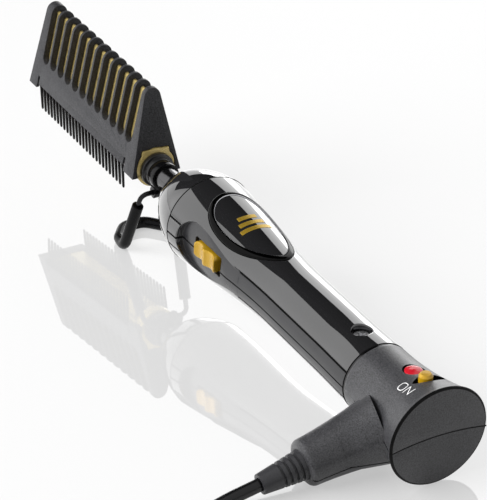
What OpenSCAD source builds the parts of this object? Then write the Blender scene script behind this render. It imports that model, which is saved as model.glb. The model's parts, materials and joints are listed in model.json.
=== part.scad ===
// Electric hot comb: heated comb head with a heat guard, fold-out stand,
// two-shell handle with a slide switch, tail with power switch and mains cord.
// Millimetres, +Z up, standing on its stand and the rim of its tail.
// Every piece is drawn along the handle axis first: x = 0 is the tail's end face,
// +x runs to the comb head, +y is the side of the heat switch and the cord.

/* [Tail] */
// Radius of the round end face
rim_r = 19; // [17:0.5:22]
// Radius of the end face's rounded edge
rim_edge = 0.8; // [0.4:0.1:1.5]
// Length of the tail from its end face to the collar
tail_len = 38.2; // [34:0.2:46]
// Radius of the collar where tail and handle meet
collar_r = 13.5; // [13:0.1:15]
// Thickness of the collar ring
collar_t = 1.0; // [0.6:0.1:2]
// Wall of the tail shells
tail_wall = 2.2; // [1.6:0.1:2.8]

/* [Handle] */
// Distance from the end face to the seam of the nose cap
seam_x = 158.3; // [154:0.1:166]
// Radius of the waist
waist_r = 13.2; // [12.6:0.1:14.5]
// Largest radius of the front bulge
bulge_r = 18.2; // [17.6:0.1:20]
// Length of the nose cap's dome
dome_len = 27; // [25:0.5:34]
// Bore radius of the handle shells in the waist
bore_r = 11; // [10.4:0.1:11.4]

/* [Heat switch] */
// Length of the heat switch button along the handle
button_len = 16; // [14:0.5:18]
// Height of the heat switch button
button_h = 7.6; // [6:0.2:9]
// Travel of the heat switch to each side
switch_travel = 1.5; // [1:0.1:2]
// Middle of the heat switch along the handle
switch_x = 132.8; // [130:0.2:135]

/* [Badge] */
// Length of the drop-shaped badge
badge_len = 46; // [40:1:50]
// Half width of the badge
badge_w = 12; // [10:0.5:13]
// Width of the badge's ring
ring_w = 2; // [1.4:0.1:3]

/* [Comb head] */
// Distance from the end face to the near end of the head
head_x = 201.2; // [198:0.2:210]
// Length of the head along its base
head_len = 93.8; // [91:0.2:100]
// Half width of the guard at its base
base_half = 10.55; // [10:0.05:12]
// Height of the guard's base over the handle axis
base_z = -1.8; // [-3:0.1:-1]
// Height of the ridge over the handle axis
ridge_z = 33.7; // [31:0.1:37]
// Radius of the ridge
ridge_r = 3.5; // [3:0.1:4.2]
// Thickness of the guard's ribs and walls
guard_wall = 2.5; // [2.2:0.1:2.8]
// Number of slots over the ridge
slot_count = 12; // [8:1:12]
// Share of the slot spacing that is open
slot_share = 0.8; // [0.68:0.01:0.84]
// Distance from each end of the base to the middle of the nearest slot
slot_in = 9.775; // [9.6:0.025:11]
// Height of the slots' floors over the handle axis
slot_floor = 9.8; // [8:0.2:14]

/* [Comb teeth] */
// Teeth in each row
tooth_count = 26; // [16:1:26]
// Distance from each end of the base to the middle of the nearest tooth
tooth_in = 9.9; // [9.6:0.1:12]
// Length of a tooth below the guard
tooth_len = 12; // [8:0.5:14]
// Thickness of a tooth along the row
tooth_t = 1.25; // [0.9:0.05:1.6]

/* [Neck and stand] */
// Radius of the neck tube
neck_r = 4.7; // [4.2:0.1:5.2]
// Height of the neck's axis over the handle axis
neck_z = 0.5; // [0:0.1:1]
// Diameter of the stand's wire
wire_d = 2; // [1.6:0.1:2.4]
// Outer diameter of the stand's rubber sleeve
sleeve_d = 4.6; // [4:0.1:5]
// Half width of the stand's foot
stand_half = 12; // [11:0.5:15]
// Drop from the stand's hinge to its foot
stand_drop = 28.3; // [25:0.1:30]
// How far the stand turns to fold back under the nose
stand_fold = 82; // [60:1:84]

/* [Cord] */
// Diameter of the mains cord
cord_d = 4.8; // [4.4:0.1:5.2]
// Droop of the cord boss below the cross direction, in degrees
boss_droop = 10.5; // [8:0.5:12]
// Length of the cord boss from the handle axis
boss_len = 40; // [37:0.5:46]
// Radius of the boss at its outer end
boss_end_r = 8.4; // [8:0.1:10]
// Length of the strain relief outside the boss
relief_out = 16; // [12:0.5:24]

/* [Hidden] */

$fn = 64;
seat = 0.05;            // gap between seated pieces
run_gap = 0.05;         // radial running clearance
cut = 1;                // overshoot of cutting shapes
half_space = 400;       // size of the blocks that halve the shells

// Stations along the handle
handle_x = tail_len + collar_t;
waist_from = 60;
waist_to = 92;
bulge_x = 166;
bulge_bore = bore_r + 1.2;
bulge_bore_x = 112;
nose_wall = 2.6;
flare_power = 2.1;

function ease(u) = (1 - cos(180 * u)) / 2;
function steps(a, b, n) = [for (i = [0:n]) a + (b - a) * i / n];
function tail_r(x) = collar_r + (rim_r - collar_r) * pow(max(0, 1 - x / tail_len), flare_power);
function handle_r(x) =
    x < waist_from ? waist_r + (collar_r - waist_r) * ease((waist_from - x) / (waist_from - handle_x)) :
    x > waist_to ? waist_r + (bulge_r - waist_r) * ease((x - waist_to) / (bulge_x - waist_to)) :
    waist_r;
dome_out = 1.5;         // how early the dome starts to fall away
dome_blunt = 0.46;      // how round its nose is
function nose_r(x) = handle_r(seam_x) * pow(max(0, 1 - pow((x - seam_x) / dome_len, dome_out)), dome_blunt);

neck_hole = neck_r + seat;
dome_end_u = pow(1 - pow((neck_r + 0.9) / handle_r(seam_x), 1 / dome_blunt), 1 / dome_out);
dome_end = seam_x + dome_len * dome_end_u;

// Turns a profile of [radius, x] points about the handle axis
module turned(points) {
    rotate([0, 90, 0]) rotate_extrude() polygon(points);
}

// Cylinder along x from x0 to x1
module rod_x(r, x0, x1, y = 0, z = 0) {
    translate([x0, y, z]) rotate([0, 90, 0]) cylinder(r = r, h = x1 - x0);
}

// Cylinder along y from y0 to y1
module rod_y(r, y0, y1, x = 0, z = 0) {
    translate([x, y0, z]) rotate([-90, 0, 0]) cylinder(r = r, h = y1 - y0);
}

// Extrudes a y-z outline along x
module along_x(x0, x1) {
    translate([x0, 0, 0]) rotate([90, 0, 90]) linear_extrude(x1 - x0) children();
}

// Extrudes an x-z outline along y, from y0 to y1
module along_y(y0, y1) {
    translate([0, y1, 0]) rotate([90, 0, 0]) linear_extrude(y1 - y0) children();
}

module block(from, to) {
    translate(from) cube([to[0] - from[0], to[1] - from[1], to[2] - from[2]]);
}

module upper_half() {
    block([-cut, -half_space / 2, 0], [half_space, half_space / 2, half_space / 2]);
}

module lower_half() {
    block([-cut, -half_space / 2, -half_space / 2], [half_space, half_space / 2, 0]);
}

// ---- resting pose: the rim of the tail and the foot of the stand share the floor ----
foot_lead = 24.5;       // from the hinge forward to the foot bar
hinge_x = head_x - 5.7;
hinge_z = neck_z - neck_r - 1.8;
foot_x = hinge_x + foot_lead;
foot_z = hinge_z - stand_drop;
foot_r = sleeve_d / 2;
rest_run = foot_x - rim_edge;
rest_drop = -(rim_r - rim_edge) - foot_z;
rest_tilt = atan2(rest_drop, rest_run) + asin((foot_r - rim_edge) / norm([rest_run, rest_drop]));
rest_lift = rim_edge + (rim_r - rim_edge) * cos(rest_tilt) - rim_edge * sin(rest_tilt);
head_end = head_x + head_len;
low_x = rim_edge * cos(rest_tilt) - (rim_r - rim_edge) * sin(rest_tilt) - rim_edge;
high_x = head_end * cos(rest_tilt) - base_z * sin(rest_tilt);
boss_x = 21.9;
boss_z = -5.4;
boss_round = 2;
high_y = (boss_len - boss_round) * cos(boss_droop) + (boss_end_r - boss_round) * sin(boss_droop) + boss_round;
origin_x = (low_x + high_x) / 2;
origin_y = (high_y - rim_r) / 2;

// Sets a piece that is drawn along the handle axis down on the floor
module placed() {
    translate([-origin_x, -origin_y, rest_lift]) rotate([0, -rest_tilt, 0]) children();
}

// ---- comb head ----
ridge_c = ridge_z - ridge_r;
slot_pitch = (head_len - 2 * slot_in) / (slot_count - 1);
slot_w = slot_pitch * slot_share;
tooth_pitch = (head_len - 2 * tooth_in) / (tooth_count - 1);
flank = acos(ridge_r / norm([base_half, ridge_c - base_z])) - atan2(ridge_c - base_z, base_half);
near_lean = 4.8;        // how far the near face leans over at the ridge
far_lean = 2.7;         // how far the far face leans back at the ridge
end_wall = 6.3;         // thickness of the end plates at the base
lip_wall = 1.1;         // flank thickness in front of the tooth rails
lip_z = base_z + 6.4;   // top of the rails' pocket
skirt_z = base_z + 2;   // lower edge of the flanks between the end plates
notch_w = 1.4;
notch_near = 9;         // from the near end of the base to its notch
notch_far = 7.3;        // from the far end of the base to its notch
notch_top = base_z + 5.2;
cavity_x0 = head_x + end_wall;
cavity_x1 = head_end - end_wall + 0.3;
boss_ring_r = 8.2;      // gold ring round the neck washer
boss_ring_z = neck_z + 0.4;
block_gap = 0.2;

function flank_y(z, inset) = (ridge_r - inset - (z - ridge_c) * sin(flank)) / cos(flank);

// Pointed arch of the head, drawn in from the outer face by inset
module arch(inset, z0) {
    n = 10;
    polygon(concat([[flank_y(z0, inset), z0]],
        [for (a = steps(flank, 180 - flank, n)) [(ridge_r - inset) * cos(a), ridge_c + (ridge_r - inset) * sin(a)]],
        [[-flank_y(z0, inset), z0]]));
}

// Side view of the head between its leaning faces, drawn in at both ends
module head_side(inset) {
    dz = ridge_z - base_z;
    polygon([[head_x + inset - near_lean * 0.2, base_z - 0.2 * dz],
        [head_end - inset + far_lean * 0.2, base_z - 0.2 * dz],
        [head_end - inset - far_lean * 1.2, ridge_z + 0.2 * dz],
        [head_x + inset + near_lean * 1.2, ridge_z + 0.2 * dz]]);
}

module neck_opening(gap) {
    translate([0, boss_ring_z]) circle(boss_ring_r + gap);
    polygon([[-6.4 - gap, 4], [6.4 + gap, 4], [5.6 + gap, 8.7 + gap], [-5.6 - gap, 8.7 + gap]]);
}

slots_x = head_x + slot_in - 0.1;

module ridge_slots() {
    for (i = [0:slot_count - 1]) translate([slots_x + i * slot_pitch, 0, 0]) {
        block([-slot_w / 2, -base_half - cut, slot_floor + slot_w / 2], [slot_w / 2, base_half + cut, ridge_z + cut]);
        rod_y(slot_w / 2, -base_half - cut, base_half + cut, 0, slot_floor + slot_w / 2);
    }
}

screw_z = 14;           // height of the guard's screw

module comb_guard() placed() color("#3b3b3d") difference() {
    intersection() {
        along_x(head_x - cut, head_end + cut) arch(0, base_z);
        along_y(-base_half - cut, base_half + cut) head_side(0);
    }
    along_x(cavity_x0, cavity_x1) arch(guard_wall, base_z - cut);
    along_x(cavity_x0, cavity_x1) intersection() {
        arch(lip_wall, base_z - cut);
        translate([-base_half, base_z - cut]) square([2 * base_half, lip_z - base_z + cut]);
    }
    along_x(head_x - cut, cavity_x0 + cut) neck_opening(0.3);
    block([head_x + notch_near, -base_half - cut, base_z - cut], [head_end - notch_far, base_half + cut, skirt_z]);
    for (x = [head_x + notch_near, head_end - notch_far])
        block([x - notch_w / 2, -base_half - cut, base_z - cut], [x + notch_w / 2, base_half + cut, notch_top]);
    ridge_slots();
    rod_x(1.7, cavity_x1 - cut, head_end + cut, 0, screw_z);
    rod_x(3.2, head_end - 3.6, head_end + cut, 0, screw_z);
}

block_in = guard_wall + block_gap;
heater_r = 3.5;
heater_z = 12;
fuse_r = 1.6;
fuse_z = 22;
bore_depth = cavity_x1 - cavity_x0 - 25.5;   // leaves the far end to the guard's screw

module heating_block() placed() color("#b59a45") difference() {
    union() {
        along_x(cavity_x0 + 0.2, cavity_x1 - 0.2) arch(block_in, base_z + 0.4);
        along_x(head_x + 0.8, cavity_x0 + 0.2) neck_opening(0);
    }
    rod_x(neck_r, head_x, cavity_x0 + 8, 0, neck_z);
    block([cavity_x0 + 8 - cut, -3, -1], [cavity_x0 + 14, 3, heater_z + 1]);
    block([cavity_x0 + 9, -1, heater_z], [cavity_x0 + 14, 1, fuse_z + 1]);
    rod_x(heater_r + seat, cavity_x0 + 14 - cut, cavity_x0 + bore_depth + 14, 0, heater_z);
    rod_x(fuse_r + seat, cavity_x0 + 14 - cut, cavity_x0 + 30, 0, fuse_z);
    rod_x(1.25, cavity_x1 - 8.2, cavity_x1, 0, screw_z);
}

module heater_cartridge() placed() color("#cfcabd")
    rod_x(heater_r, cavity_x0 + 14.2, cavity_x0 + bore_depth + 13.8, 0, heater_z);

module thermal_fuse() placed() color("#d8d3c4")
    rod_x(fuse_r, cavity_x0 + 14.2, cavity_x0 + 29.8, 0, fuse_z);

module guard_screw() placed() color("#7d7d80") {
    rod_x(1.2, cavity_x1 - 8, head_end - 3.6, 0, screw_z);
    difference() {
        rod_x(2.9, head_end - 3.6, head_end - 2, 0, screw_z);
        along_x(head_end - 2.7, head_end) {
            translate([-1.8, screw_z - 0.35]) square([3.6, 0.7]);
            translate([-0.35, screw_z - 1.8]) square([0.7, 3.6]);
        }
    }
}

// One row of tapered teeth under a flat bar, as an x-z outline
tooth_x0 = head_x + tooth_in + 1.9;
tooth_lean = 3;         // inward lean of the teeth, in degrees

function tooth(x, top, tip) = let (r = tooth_t * 0.34) concat([[x - tooth_t / 2, top]],
    [for (a = steps(180, 360, 6)) [x + r * cos(a), tip + r + r * sin(a)]], [[x + tooth_t / 2, top]]);

module tooth_outline() {
    for (i = [0:tooth_count - 1])
        polygon(tooth(tooth_x0 + i * tooth_pitch, skirt_z + 0.4, skirt_z - tooth_len));
}

rail_t = guard_wall - lip_wall - seat - 0.05;
tooth_y = flank_y(skirt_z, lip_wall + seat + rail_t / 2);

module rail_bar() {
    along_x(cavity_x0 + 0.2, cavity_x1 - 0.2) intersection() {
        difference() {
            arch(lip_wall + seat, skirt_z);
            arch(lip_wall + seat + rail_t, skirt_z - cut);
        }
        translate([0, skirt_z]) square([base_half, lip_z - skirt_z - seat]);
    }
}

module tooth_rail() {
    rail_bar();
    translate([0, tooth_y, skirt_z]) rotate([-tooth_lean, 0, 0]) translate([0, 0, -skirt_z])
        along_y(-rail_t / 2 + 0.1, rail_t / 2 - 0.1) tooth_outline();
}

module tooth_rail_left() placed() color("#141414") tooth_rail();
module tooth_rail_right() placed() color("#141414") mirror([0, 1, 0]) tooth_rail();

// ---- neck and stand ----
tube_bore = neck_r - 1.1;
tube_in = seam_x + 6;
bracket_w = 4;
washer_x0 = hinge_x + bracket_w / 2 + 0.3;
washer_r = 7;
knuckle_r = wire_d / 2 + 1.3;
knuckle_y = 3.4;
knuckle_w = 2.4;
axle_y = 9.5;           // where the axle bends down into the legs

module neck_tube() placed() color("#3a3a3f") difference() {
    rod_x(neck_r - seat / 2, tube_in, cavity_x0 + 7.8, 0, neck_z);
    rod_x(tube_bore, tube_in - cut, cavity_x0 + 8, 0, neck_z);
}

module neck_washer() placed() color("#0e0e0e") difference() {
    union() {
        rod_x(washer_r, head_x - 1.4, head_x + 0.75, 0, neck_z);
        rod_x(washer_r - 1.2, washer_x0, head_x - 1.4, 0, neck_z);
    }
    rod_x(neck_hole, washer_x0 - cut, head_x + cut, 0, neck_z);
}

module stand_bracket() placed() color("#2b2b2e") difference() {
    union() {
        rod_x(neck_r + 1.1, hinge_x - bracket_w / 2, hinge_x + bracket_w / 2, 0, neck_z);
        for (s = [-1, 1]) translate([0, s * knuckle_y, 0]) {
            rod_y(knuckle_r, -knuckle_w / 2, knuckle_w / 2, hinge_x, hinge_z);
            block([hinge_x - 1.6, -knuckle_w / 2, hinge_z], [hinge_x + 1.6, knuckle_w / 2, neck_z - neck_r + 0.6]);
        }
    }
    rod_x(neck_hole, hinge_x - bracket_w, hinge_x + bracket_w, 0, neck_z);
    rod_y(wire_d / 2 + run_gap, -axle_y, axle_y, hinge_x, hinge_z);
}

// The wire's route: straight runs through these corners, bent to these radii
heel_lead = 15.2;
floor_rise = tan(rest_tilt);
heel = [foot_x - heel_lead, stand_half, foot_z + heel_lead * floor_rise];
instep = [foot_x - 8, stand_half - 1.4, foot_z + 8 * floor_rise];
toe = [foot_x, 4.5, foot_z];
STAND_BENDS = [3, 4.5, 5];

function unit(v) = v / norm(v);
function across(v, t) = unit(v - (v * t) * t);

// Points of a round bend of radius r at corner b, coming from a and going to c
function bend(a, b, c, r, n) = let (
        u = unit(a - b), v = unit(c - b), half = acos(u * v) / 2,
        mid = b + unit(u + v) * r / sin(half), p = across(u, -unit(u + v)), sweep = 90 - half)
    [for (f = steps(-sweep, sweep, n)) mid + r * (-unit(u + v) * cos(f) - p * sin(f))];

function mirrored(pts) = [for (i = [len(pts) - 1:-1:0]) [pts[i][0], -pts[i][1], pts[i][2]]];
axle_in = [hinge_x, axle_y - 4, hinge_z];
stand_mid = [foot_x, 0, foot_z];
axle_end = [hinge_x, axle_y, hinge_z];
top_bend = bend(axle_in, axle_end, heel, STAND_BENDS[0], 5);
foot_bends = concat(bend(axle_end, heel, instep, STAND_BENDS[1], 5),
    bend(heel, instep, toe, STAND_BENDS[2], 4), bend(instep, toe, stand_mid, STAND_BENDS[2], 4));
leg_end = top_bend[len(top_bend) - 1];
sleeve_from = leg_end + 3 * unit(heel - leg_end);
wire_half = concat([axle_in + [0, 0.8, 0]], top_bend, foot_bends);
sleeve_half = concat([sleeve_from], foot_bends);

// Rings of points round a path, carried along it without twist
function path_dirs(pts) = [for (i = [0:len(pts) - 1])
    unit(unit(pts[min(i + 1, len(pts) - 1)] - pts[min(i, len(pts) - 2)])
        + unit(pts[max(i, 1)] - pts[max(i - 1, 0)]))];
function frames(dirs, first) = [for (i = 0, u = across(first, dirs[0]); i < len(dirs);
    i = i + 1, u = across(u, dirs[min(i, len(dirs) - 1)])) u];
function rings(pts, dirs, us, r, n) = [for (i = [0:len(pts) - 1]) for (k = [0:n - 1])
    pts[i] + r * (us[i] * cos(360 * k / n) + cross(dirs[i], us[i]) * sin(360 * k / n))];
function skin(m, n, from) = [for (i = [0:m - 2]) for (k = [0:n - 1]) let (a = from + i * n, j = (k + 1) % n)
    [a + k, a + n + k, a + n + j, a + j]];

// Round rod swept along points, with a bore if bore is more than 0
module swept(pts, r, n, first, bore = 0) {
    dirs = path_dirs(pts);
    us = frames(dirs, first);
    m = len(pts);
    outer = rings(pts, dirs, us, r, n);
    e = (m - 1) * n;
    if (bore == 0) {
        polyhedron(points = outer, faces = concat([[for (k = [0:n - 1]) k]], skin(m, n, 0),
            [[for (k = [n - 1:-1:0]) e + k]]));
    } else {
        polyhedron(points = concat(outer, rings(pts, dirs, us, bore, n)), faces = concat(skin(m, n, 0),
            [for (f = skin(m, n, m * n)) [f[3], f[2], f[1], f[0]]],
            [for (k = [0:n - 1]) let (j = (k + 1) % n, b = m * n) [k, j, b + j, b + k]],
            [for (k = [0:n - 1]) let (j = (k + 1) % n, b = m * n) [e + j, e + k, e + b + k, e + b + j]]));
    }
}

stand_sides = 16;

module stand_wire() placed() color("#1c1c1e") {
    rod_y(wire_d / 2, -axle_y + 3, axle_y - 3, hinge_x, hinge_z);
    swept(concat(wire_half, mirrored(wire_half)), wire_d / 2 - 0.02, stand_sides, [0, 0, 1]);
}

module stand_sleeve() placed() color("#101010")
    swept(concat(sleeve_half, mirrored(sleeve_half)), foot_r, stand_sides, [1, 0, 0.3], wire_d / 2);

// ---- handle ----
spigot_r = bulge_bore - 0.1;
spigot_len = 7;

module nose_cap() placed() color("#121214") difference() {
    union() {
        turned(concat([[0, seam_x]], [for (x = steps(seam_x, dome_end, 12)) [nose_r(x), x]], [[0, dome_end]]));
        rod_x(spigot_r, seam_x - spigot_len, seam_x);
    }
    rod_x(spigot_r - 2, seam_x - spigot_len - cut, seam_x + 2);
    turned(concat([[0, seam_x]], [for (x = steps(seam_x, seam_x + 12, 4)) [nose_r(x) - nose_wall, x]],
        [[0, seam_x + 12]]));
    rod_x(neck_r, seam_x, dome_end + cut, 0, neck_z);
}

module handle_solid() {
    turned(concat([[0, handle_x]],
        [for (x = steps(handle_x, waist_from, 3)) [handle_r(x), x]],
        [for (x = steps(waist_to, seam_x, 12)) [handle_r(x), x]], [[0, seam_x]]));
}

module handle_bore() {
    turned([[0, handle_x - cut], [bore_r, handle_x - cut], [bore_r, bulge_bore_x - 6],
        [bulge_bore, bulge_bore_x], [bulge_bore, seam_x + cut], [0, seam_x + cut]]);
}

// Flat-ish pad round the heat switch, sunk into the bulge
pad_y = 14.8;
pad_curve = 30;
pad_z = 0.5;
button_z = 1.5;
slot_end = switch_travel + 0.1;
stem_w = 3.6;
web_y = pad_y - 1.9;

module pad_cut() difference() {
    along_y(5, bulge_r + cut) {
        translate([switch_x + 9.5, pad_z]) circle(9.6);
        polygon([[switch_x + 9.5, pad_z + 9.6], [switch_x - 2, pad_z + 9], [switch_x - 13.5, pad_z + 3],
            [switch_x - 13.5, pad_z - 3], [switch_x - 2, pad_z - 9], [switch_x + 9.5, pad_z - 9.6]]);
    }
    rod_x(pad_curve, waist_to, seam_x + 20, pad_y - pad_curve, pad_z);
}

module button_cut() {
    grow = slot_end;
    block([switch_x - button_len / 2 - grow, web_y, button_z - button_h / 2 - 0.15],
        [switch_x + button_len / 2 + grow, bulge_r + cut, button_z + button_h / 2 + 0.15]);
    block([switch_x - 4 - grow, 5, button_z - stem_w / 2 - 0.15],
        [switch_x + 4 + grow, web_y + cut, button_z + stem_w / 2 + 0.15]);
}

// Drop-shaped outline of the badge, drawn in by inset
badge_x0 = 101;
badge_mid = badge_x0 + badge_len * 0.63;
function badge_half(x, inset) = x > badge_mid ?
    (badge_w - inset) * pow(max(0, 1 - pow((x - badge_mid) / (badge_x0 + badge_len - inset - badge_mid), 2.6)), 0.45) :
    (badge_w - inset) * pow(max(0, 1 - pow((badge_mid - x) / (badge_mid - badge_x0 - 1.6 * inset), 1.9)), 0.6);
function badge_line(inset) = [for (a = steps(0, 180, 22))
    let (x = a < 90 ? badge_mid + (badge_x0 + badge_len - inset - badge_mid) * cos(a)
        : badge_mid + (badge_mid - badge_x0 - 1.6 * inset) * cos(a)) [x, badge_half(x, inset)]];

module badge_outline(inset) {
    line = badge_line(inset);
    n = len(line);
    polygon(concat(line, [for (i = [n - 2:-1:1]) [line[i][0], -line[i][1]]]));
}

module badge_prism(inset) {
    translate([0, 0, 4]) linear_extrude(bulge_r) badge_outline(inset);
}

// Skin of the bulge between two depths below the surface, under the badge
module bulge_skin(top, bottom) difference() {
    turned(concat([[0, 96]], [for (x = steps(96, seam_x - 4, 10)) [handle_r(x) + top, x]], [[0, seam_x - 4]]));
    turned(concat([[0, 95]], [for (x = steps(95, seam_x - 3, 11)) [handle_r(x) - bottom, x]], [[0, seam_x - 3]]));
}

badge_deep = 1.6;
screw_x = handle_x + 10.8;
screw_recess_r = 3.5;
post_r = 3.6;

module handle_screw_cuts() {
    translate([screw_x, 0, collar_r - 4.4]) cylinder(r = screw_recess_r, h = 10);
    translate([screw_x, 0, 0]) cylinder(r = 1.65, h = 20);
    translate([screw_x, 0, -7]) cylinder(r = 1.2, h = 20);
}

module top_shell() placed() color("#0b0b0c") difference() {
    union() {
        difference() {
            intersection() {
                handle_solid();
                upper_half();
            }
            handle_bore();
        }
        intersection() {
            translate([screw_x, 0, seat]) cylinder(r = post_r + 1.2, h = waist_r);
            rod_x(bore_r + 0.4, screw_x - 10, screw_x + 10);
        }
    }
    intersection() {
        badge_prism(-0.1);
        bulge_skin(5, badge_deep + 0.05);
    }
    pad_cut();
    button_cut();
    handle_screw_cuts();
}

module bottom_shell() placed() color("#0b0b0c") difference() {
    union() {
        difference() {
            intersection() {
                handle_solid();
                lower_half();
            }
            handle_bore();
        }
        intersection() {
            translate([screw_x, 0, -waist_r]) cylinder(r = post_r, h = waist_r);
            rod_x(bore_r + 0.4, screw_x - 10, screw_x + 10);
        }
        intersection() {
            for (x = board_ribs) block([x, -waist_r, -waist_r], [x + 2, waist_r, board_z - board_t / 2 - seat]);
            rod_x(bore_r + 0.4, 40, seam_x - 20);
        }
        intersection() {
            block([board_ribs[2], -bulge_r, -bulge_r], [board_ribs[2] + 2, bulge_r, board_z - board_t / 2 - seat]);
            rod_x(bulge_bore + 0.4, 40, seam_x - 20);
        }
    }
    pad_cut();
    button_cut();
    handle_screw_cuts();
}

module handle_screw() placed() color("#8a8a8c") difference() {
    union() {
        translate([screw_x, 0, -6]) cylinder(r = 1.15, h = collar_r + 1.6);
        translate([screw_x, 0, collar_r - 4.35]) cylinder(r = 2.9, h = 1.8);
    }
    translate([screw_x - 0.4, -2, collar_r - 3.4]) cube([0.8, 4, 2]);
    translate([screw_x - 2, -0.4, collar_r - 3.4]) cube([4, 0.8, 2]);
}

module badge_ring() placed() color("#050505") intersection() {
    difference() {
        badge_prism(0);
        badge_prism(ring_w);
    }
    bulge_skin(0.4, badge_deep);
}

module badge_window() placed() color("#1b1b1d") difference() {
    intersection() {
        badge_prism(ring_w + 0.05);
        bulge_skin(0, badge_deep);
    }
    badge_bar_shapes(0.03, 0.85);
}

// Three plain bars of falling length
bar_w = 2;
bar_step = 3.4;
module badge_bar_shapes(gap, depth) intersection() {
    translate([0, 0, 6]) linear_extrude(bulge_r) for (i = [-1, 0, 1])
        translate([badge_mid - 3 + i * bar_step - bar_w / 2 - gap, -(5 - i * 1.2) - gap])
            square([bar_w + 2 * gap, 2 * (5 - i * 1.2) + 2 * gap]);
    bulge_skin(gap > 0 ? 1 : 0.1, depth);
}

module badge_bars() placed() color("#d2a62c") badge_bar_shapes(0, 0.8);

module heat_switch_button() placed() color("#d9a520") {
    difference() {
        block([switch_x - button_len / 2, web_y + 0.15, button_z - button_h / 2],
            [switch_x + button_len / 2, pad_y + 1.9, button_z + button_h / 2]);
        for (s = [-1, 1])
            translate([switch_x + s * 4.2, pad_y + 4.6, button_z]) cylinder(r = 4.2, h = 20, center = true);
    }
    block([switch_x - 4, bulge_bore - 3.2, button_z - stem_w / 2],
        [switch_x + 4, web_y + 0.15, button_z + stem_w / 2]);
}

// ---- inside the handle ----
board_z = -1.2;
board_t = 1.6;
board_x0 = handle_x + 18.8;
board_x1 = switch_x + 13.2;
board_half = 9;
parts_end = switch_x - 11.8;     // the parts stop short of the switch's body
function board_at(share) = board_x0 + share * (parts_end - board_x0);
body_top = bulge_bore - 3.5;
board_ribs = [60, 96, 126];

module heat_switch_body() placed() color("#1d2126")
    block([switch_x - 10, 2.5, board_z + board_t / 2 + seat], [switch_x + 10, body_top, button_z + 3.4]);

module circuit_board() placed() color("#2d6b3c")
    block([board_x0, -board_half, board_z - board_t / 2], [board_x1, board_half, board_z + board_t / 2]);

module board_parts() placed() color("#40444a") {
    top = board_z + board_t / 2 + seat;
    below = board_z - board_t / 2 - seat;
    block([board_at(0.127), -4.4, top], [board_at(0.286), 4.4, top + 3.6]);
    block([board_at(0.667), -6, top], [board_at(0.857), -1, top + 6]);
    translate([board_at(0.413), 3, top]) cylinder(r = 3, h = 5.5);
    translate([board_at(0.54), -3, top]) cylinder(r = 2.4, h = 5);
    block([board_at(0.936), -7, top], [board_at(1), 7, top + 5]);
    block([board_at(0.159), -3.5, below - 2.6], [board_at(0.381), 3.5, below]);
}

lead_r = 0.9;
module heater_leads() placed() color("#e3ddc9") for (s = [-1, 1])
    rod_x(lead_r, board_x1 + 0.3, cavity_x0 + 7.6, s * 1.4, neck_z + 0.6);

// Wires from the end of the cord to the circuit board
LIVE = [[23.6, 6.9, -4.85], [23.6, 5.6, -4.6], [24.4, 4.6, -4.1], [26.4, 4.4, -3.3], [29, 4.5, -2.3],
    [32, 4.6, -1.5], [board_x0 - 22, 4.6, board_z], [board_x0 - seat, 4.6, board_z]];
NEUTRAL = [[21.4, 6.9, -4.85], [21.4, 3.4, -4.2], [21.6, 0.6, -3.7], [22.6, -1.8, -3.2], [24.8, -3.7, -2.6],
    [28, -4.5, -1.9], [32, -4.6, -1.4], [board_x0 - 22, -4.6, board_z], [board_x0 - seat, -4.6, board_z]];

module mains_leads() placed() color("#8a5a2b") {
    swept(LIVE, lead_r, 8, [0, 0, 1]);
    swept(NEUTRAL, lead_r, 8, [0, 0, 1]);
}

// ---- tail ----
spigot_tail_r = bore_r - 0.1;
spigot_tail_len = 6.4;
spigot_wall = 1.7;

module collar_ring() placed() color("#060606") difference() {
    rod_x(collar_r - 0.25, tail_len + seat / 2, handle_x - seat / 2);
    rod_x(spigot_tail_r + seat, tail_len - cut, handle_x + cut);
}

boss_hole = 5.6;
boss_bore_from = 8;

// Places a shape drawn along z onto the drooping cord boss
module on_boss() {
    translate([boss_x, 0, boss_z]) rotate([-90 - boss_droop, 0, 0]) children();
}

function boss_r(s) = boss_end_r + 3.1 * pow(max(0, 1 - (s - 12) / (boss_len - 12)), 1.6);

module tail_solid() {
    run = root_to - root_from;
    translate(root_from) rotate([0, acos(run[2] / norm(run)), atan2(run[1], run[0])])
        cylinder(r1 = root_r, r2 = root_end_r, h = norm(run));
    turned(concat([[0, 0], [rim_r - rim_edge, 0]],
        [for (a = steps(-60, 0, 3)) [rim_r - rim_edge + rim_edge * cos(a), rim_edge + rim_edge * sin(a)]],
        [for (x = steps(2.5, tail_len, 12)) [tail_r(x), x]],
        [[spigot_tail_r, tail_len], [spigot_tail_r, tail_len + spigot_tail_len], [0, tail_len + spigot_tail_len]]));
    on_boss() rotate_extrude() polygon(concat([[0, 4]],
        [for (s = concat(steps(10, 19, 4), steps(22, boss_len - boss_round, 5))) [boss_r(s), s]],
        [for (a = steps(22.5, 90, 3)) [boss_end_r - boss_round + boss_round * cos(a),
            boss_len - boss_round + boss_round * sin(a)]],
        [[0, boss_len]]));
}

// Root of the boss: a short cone that spreads towards the end face
root_from = [17.2, 11, -4];
root_to = [21.5, 24, -9.2];
root_r = 12.3;
root_end_r = 9.4;

relief_flange = 6.6;
relief_body = boss_hole - seat;
relief_in = 11;
pocket_s = boss_len - relief_in;

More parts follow.
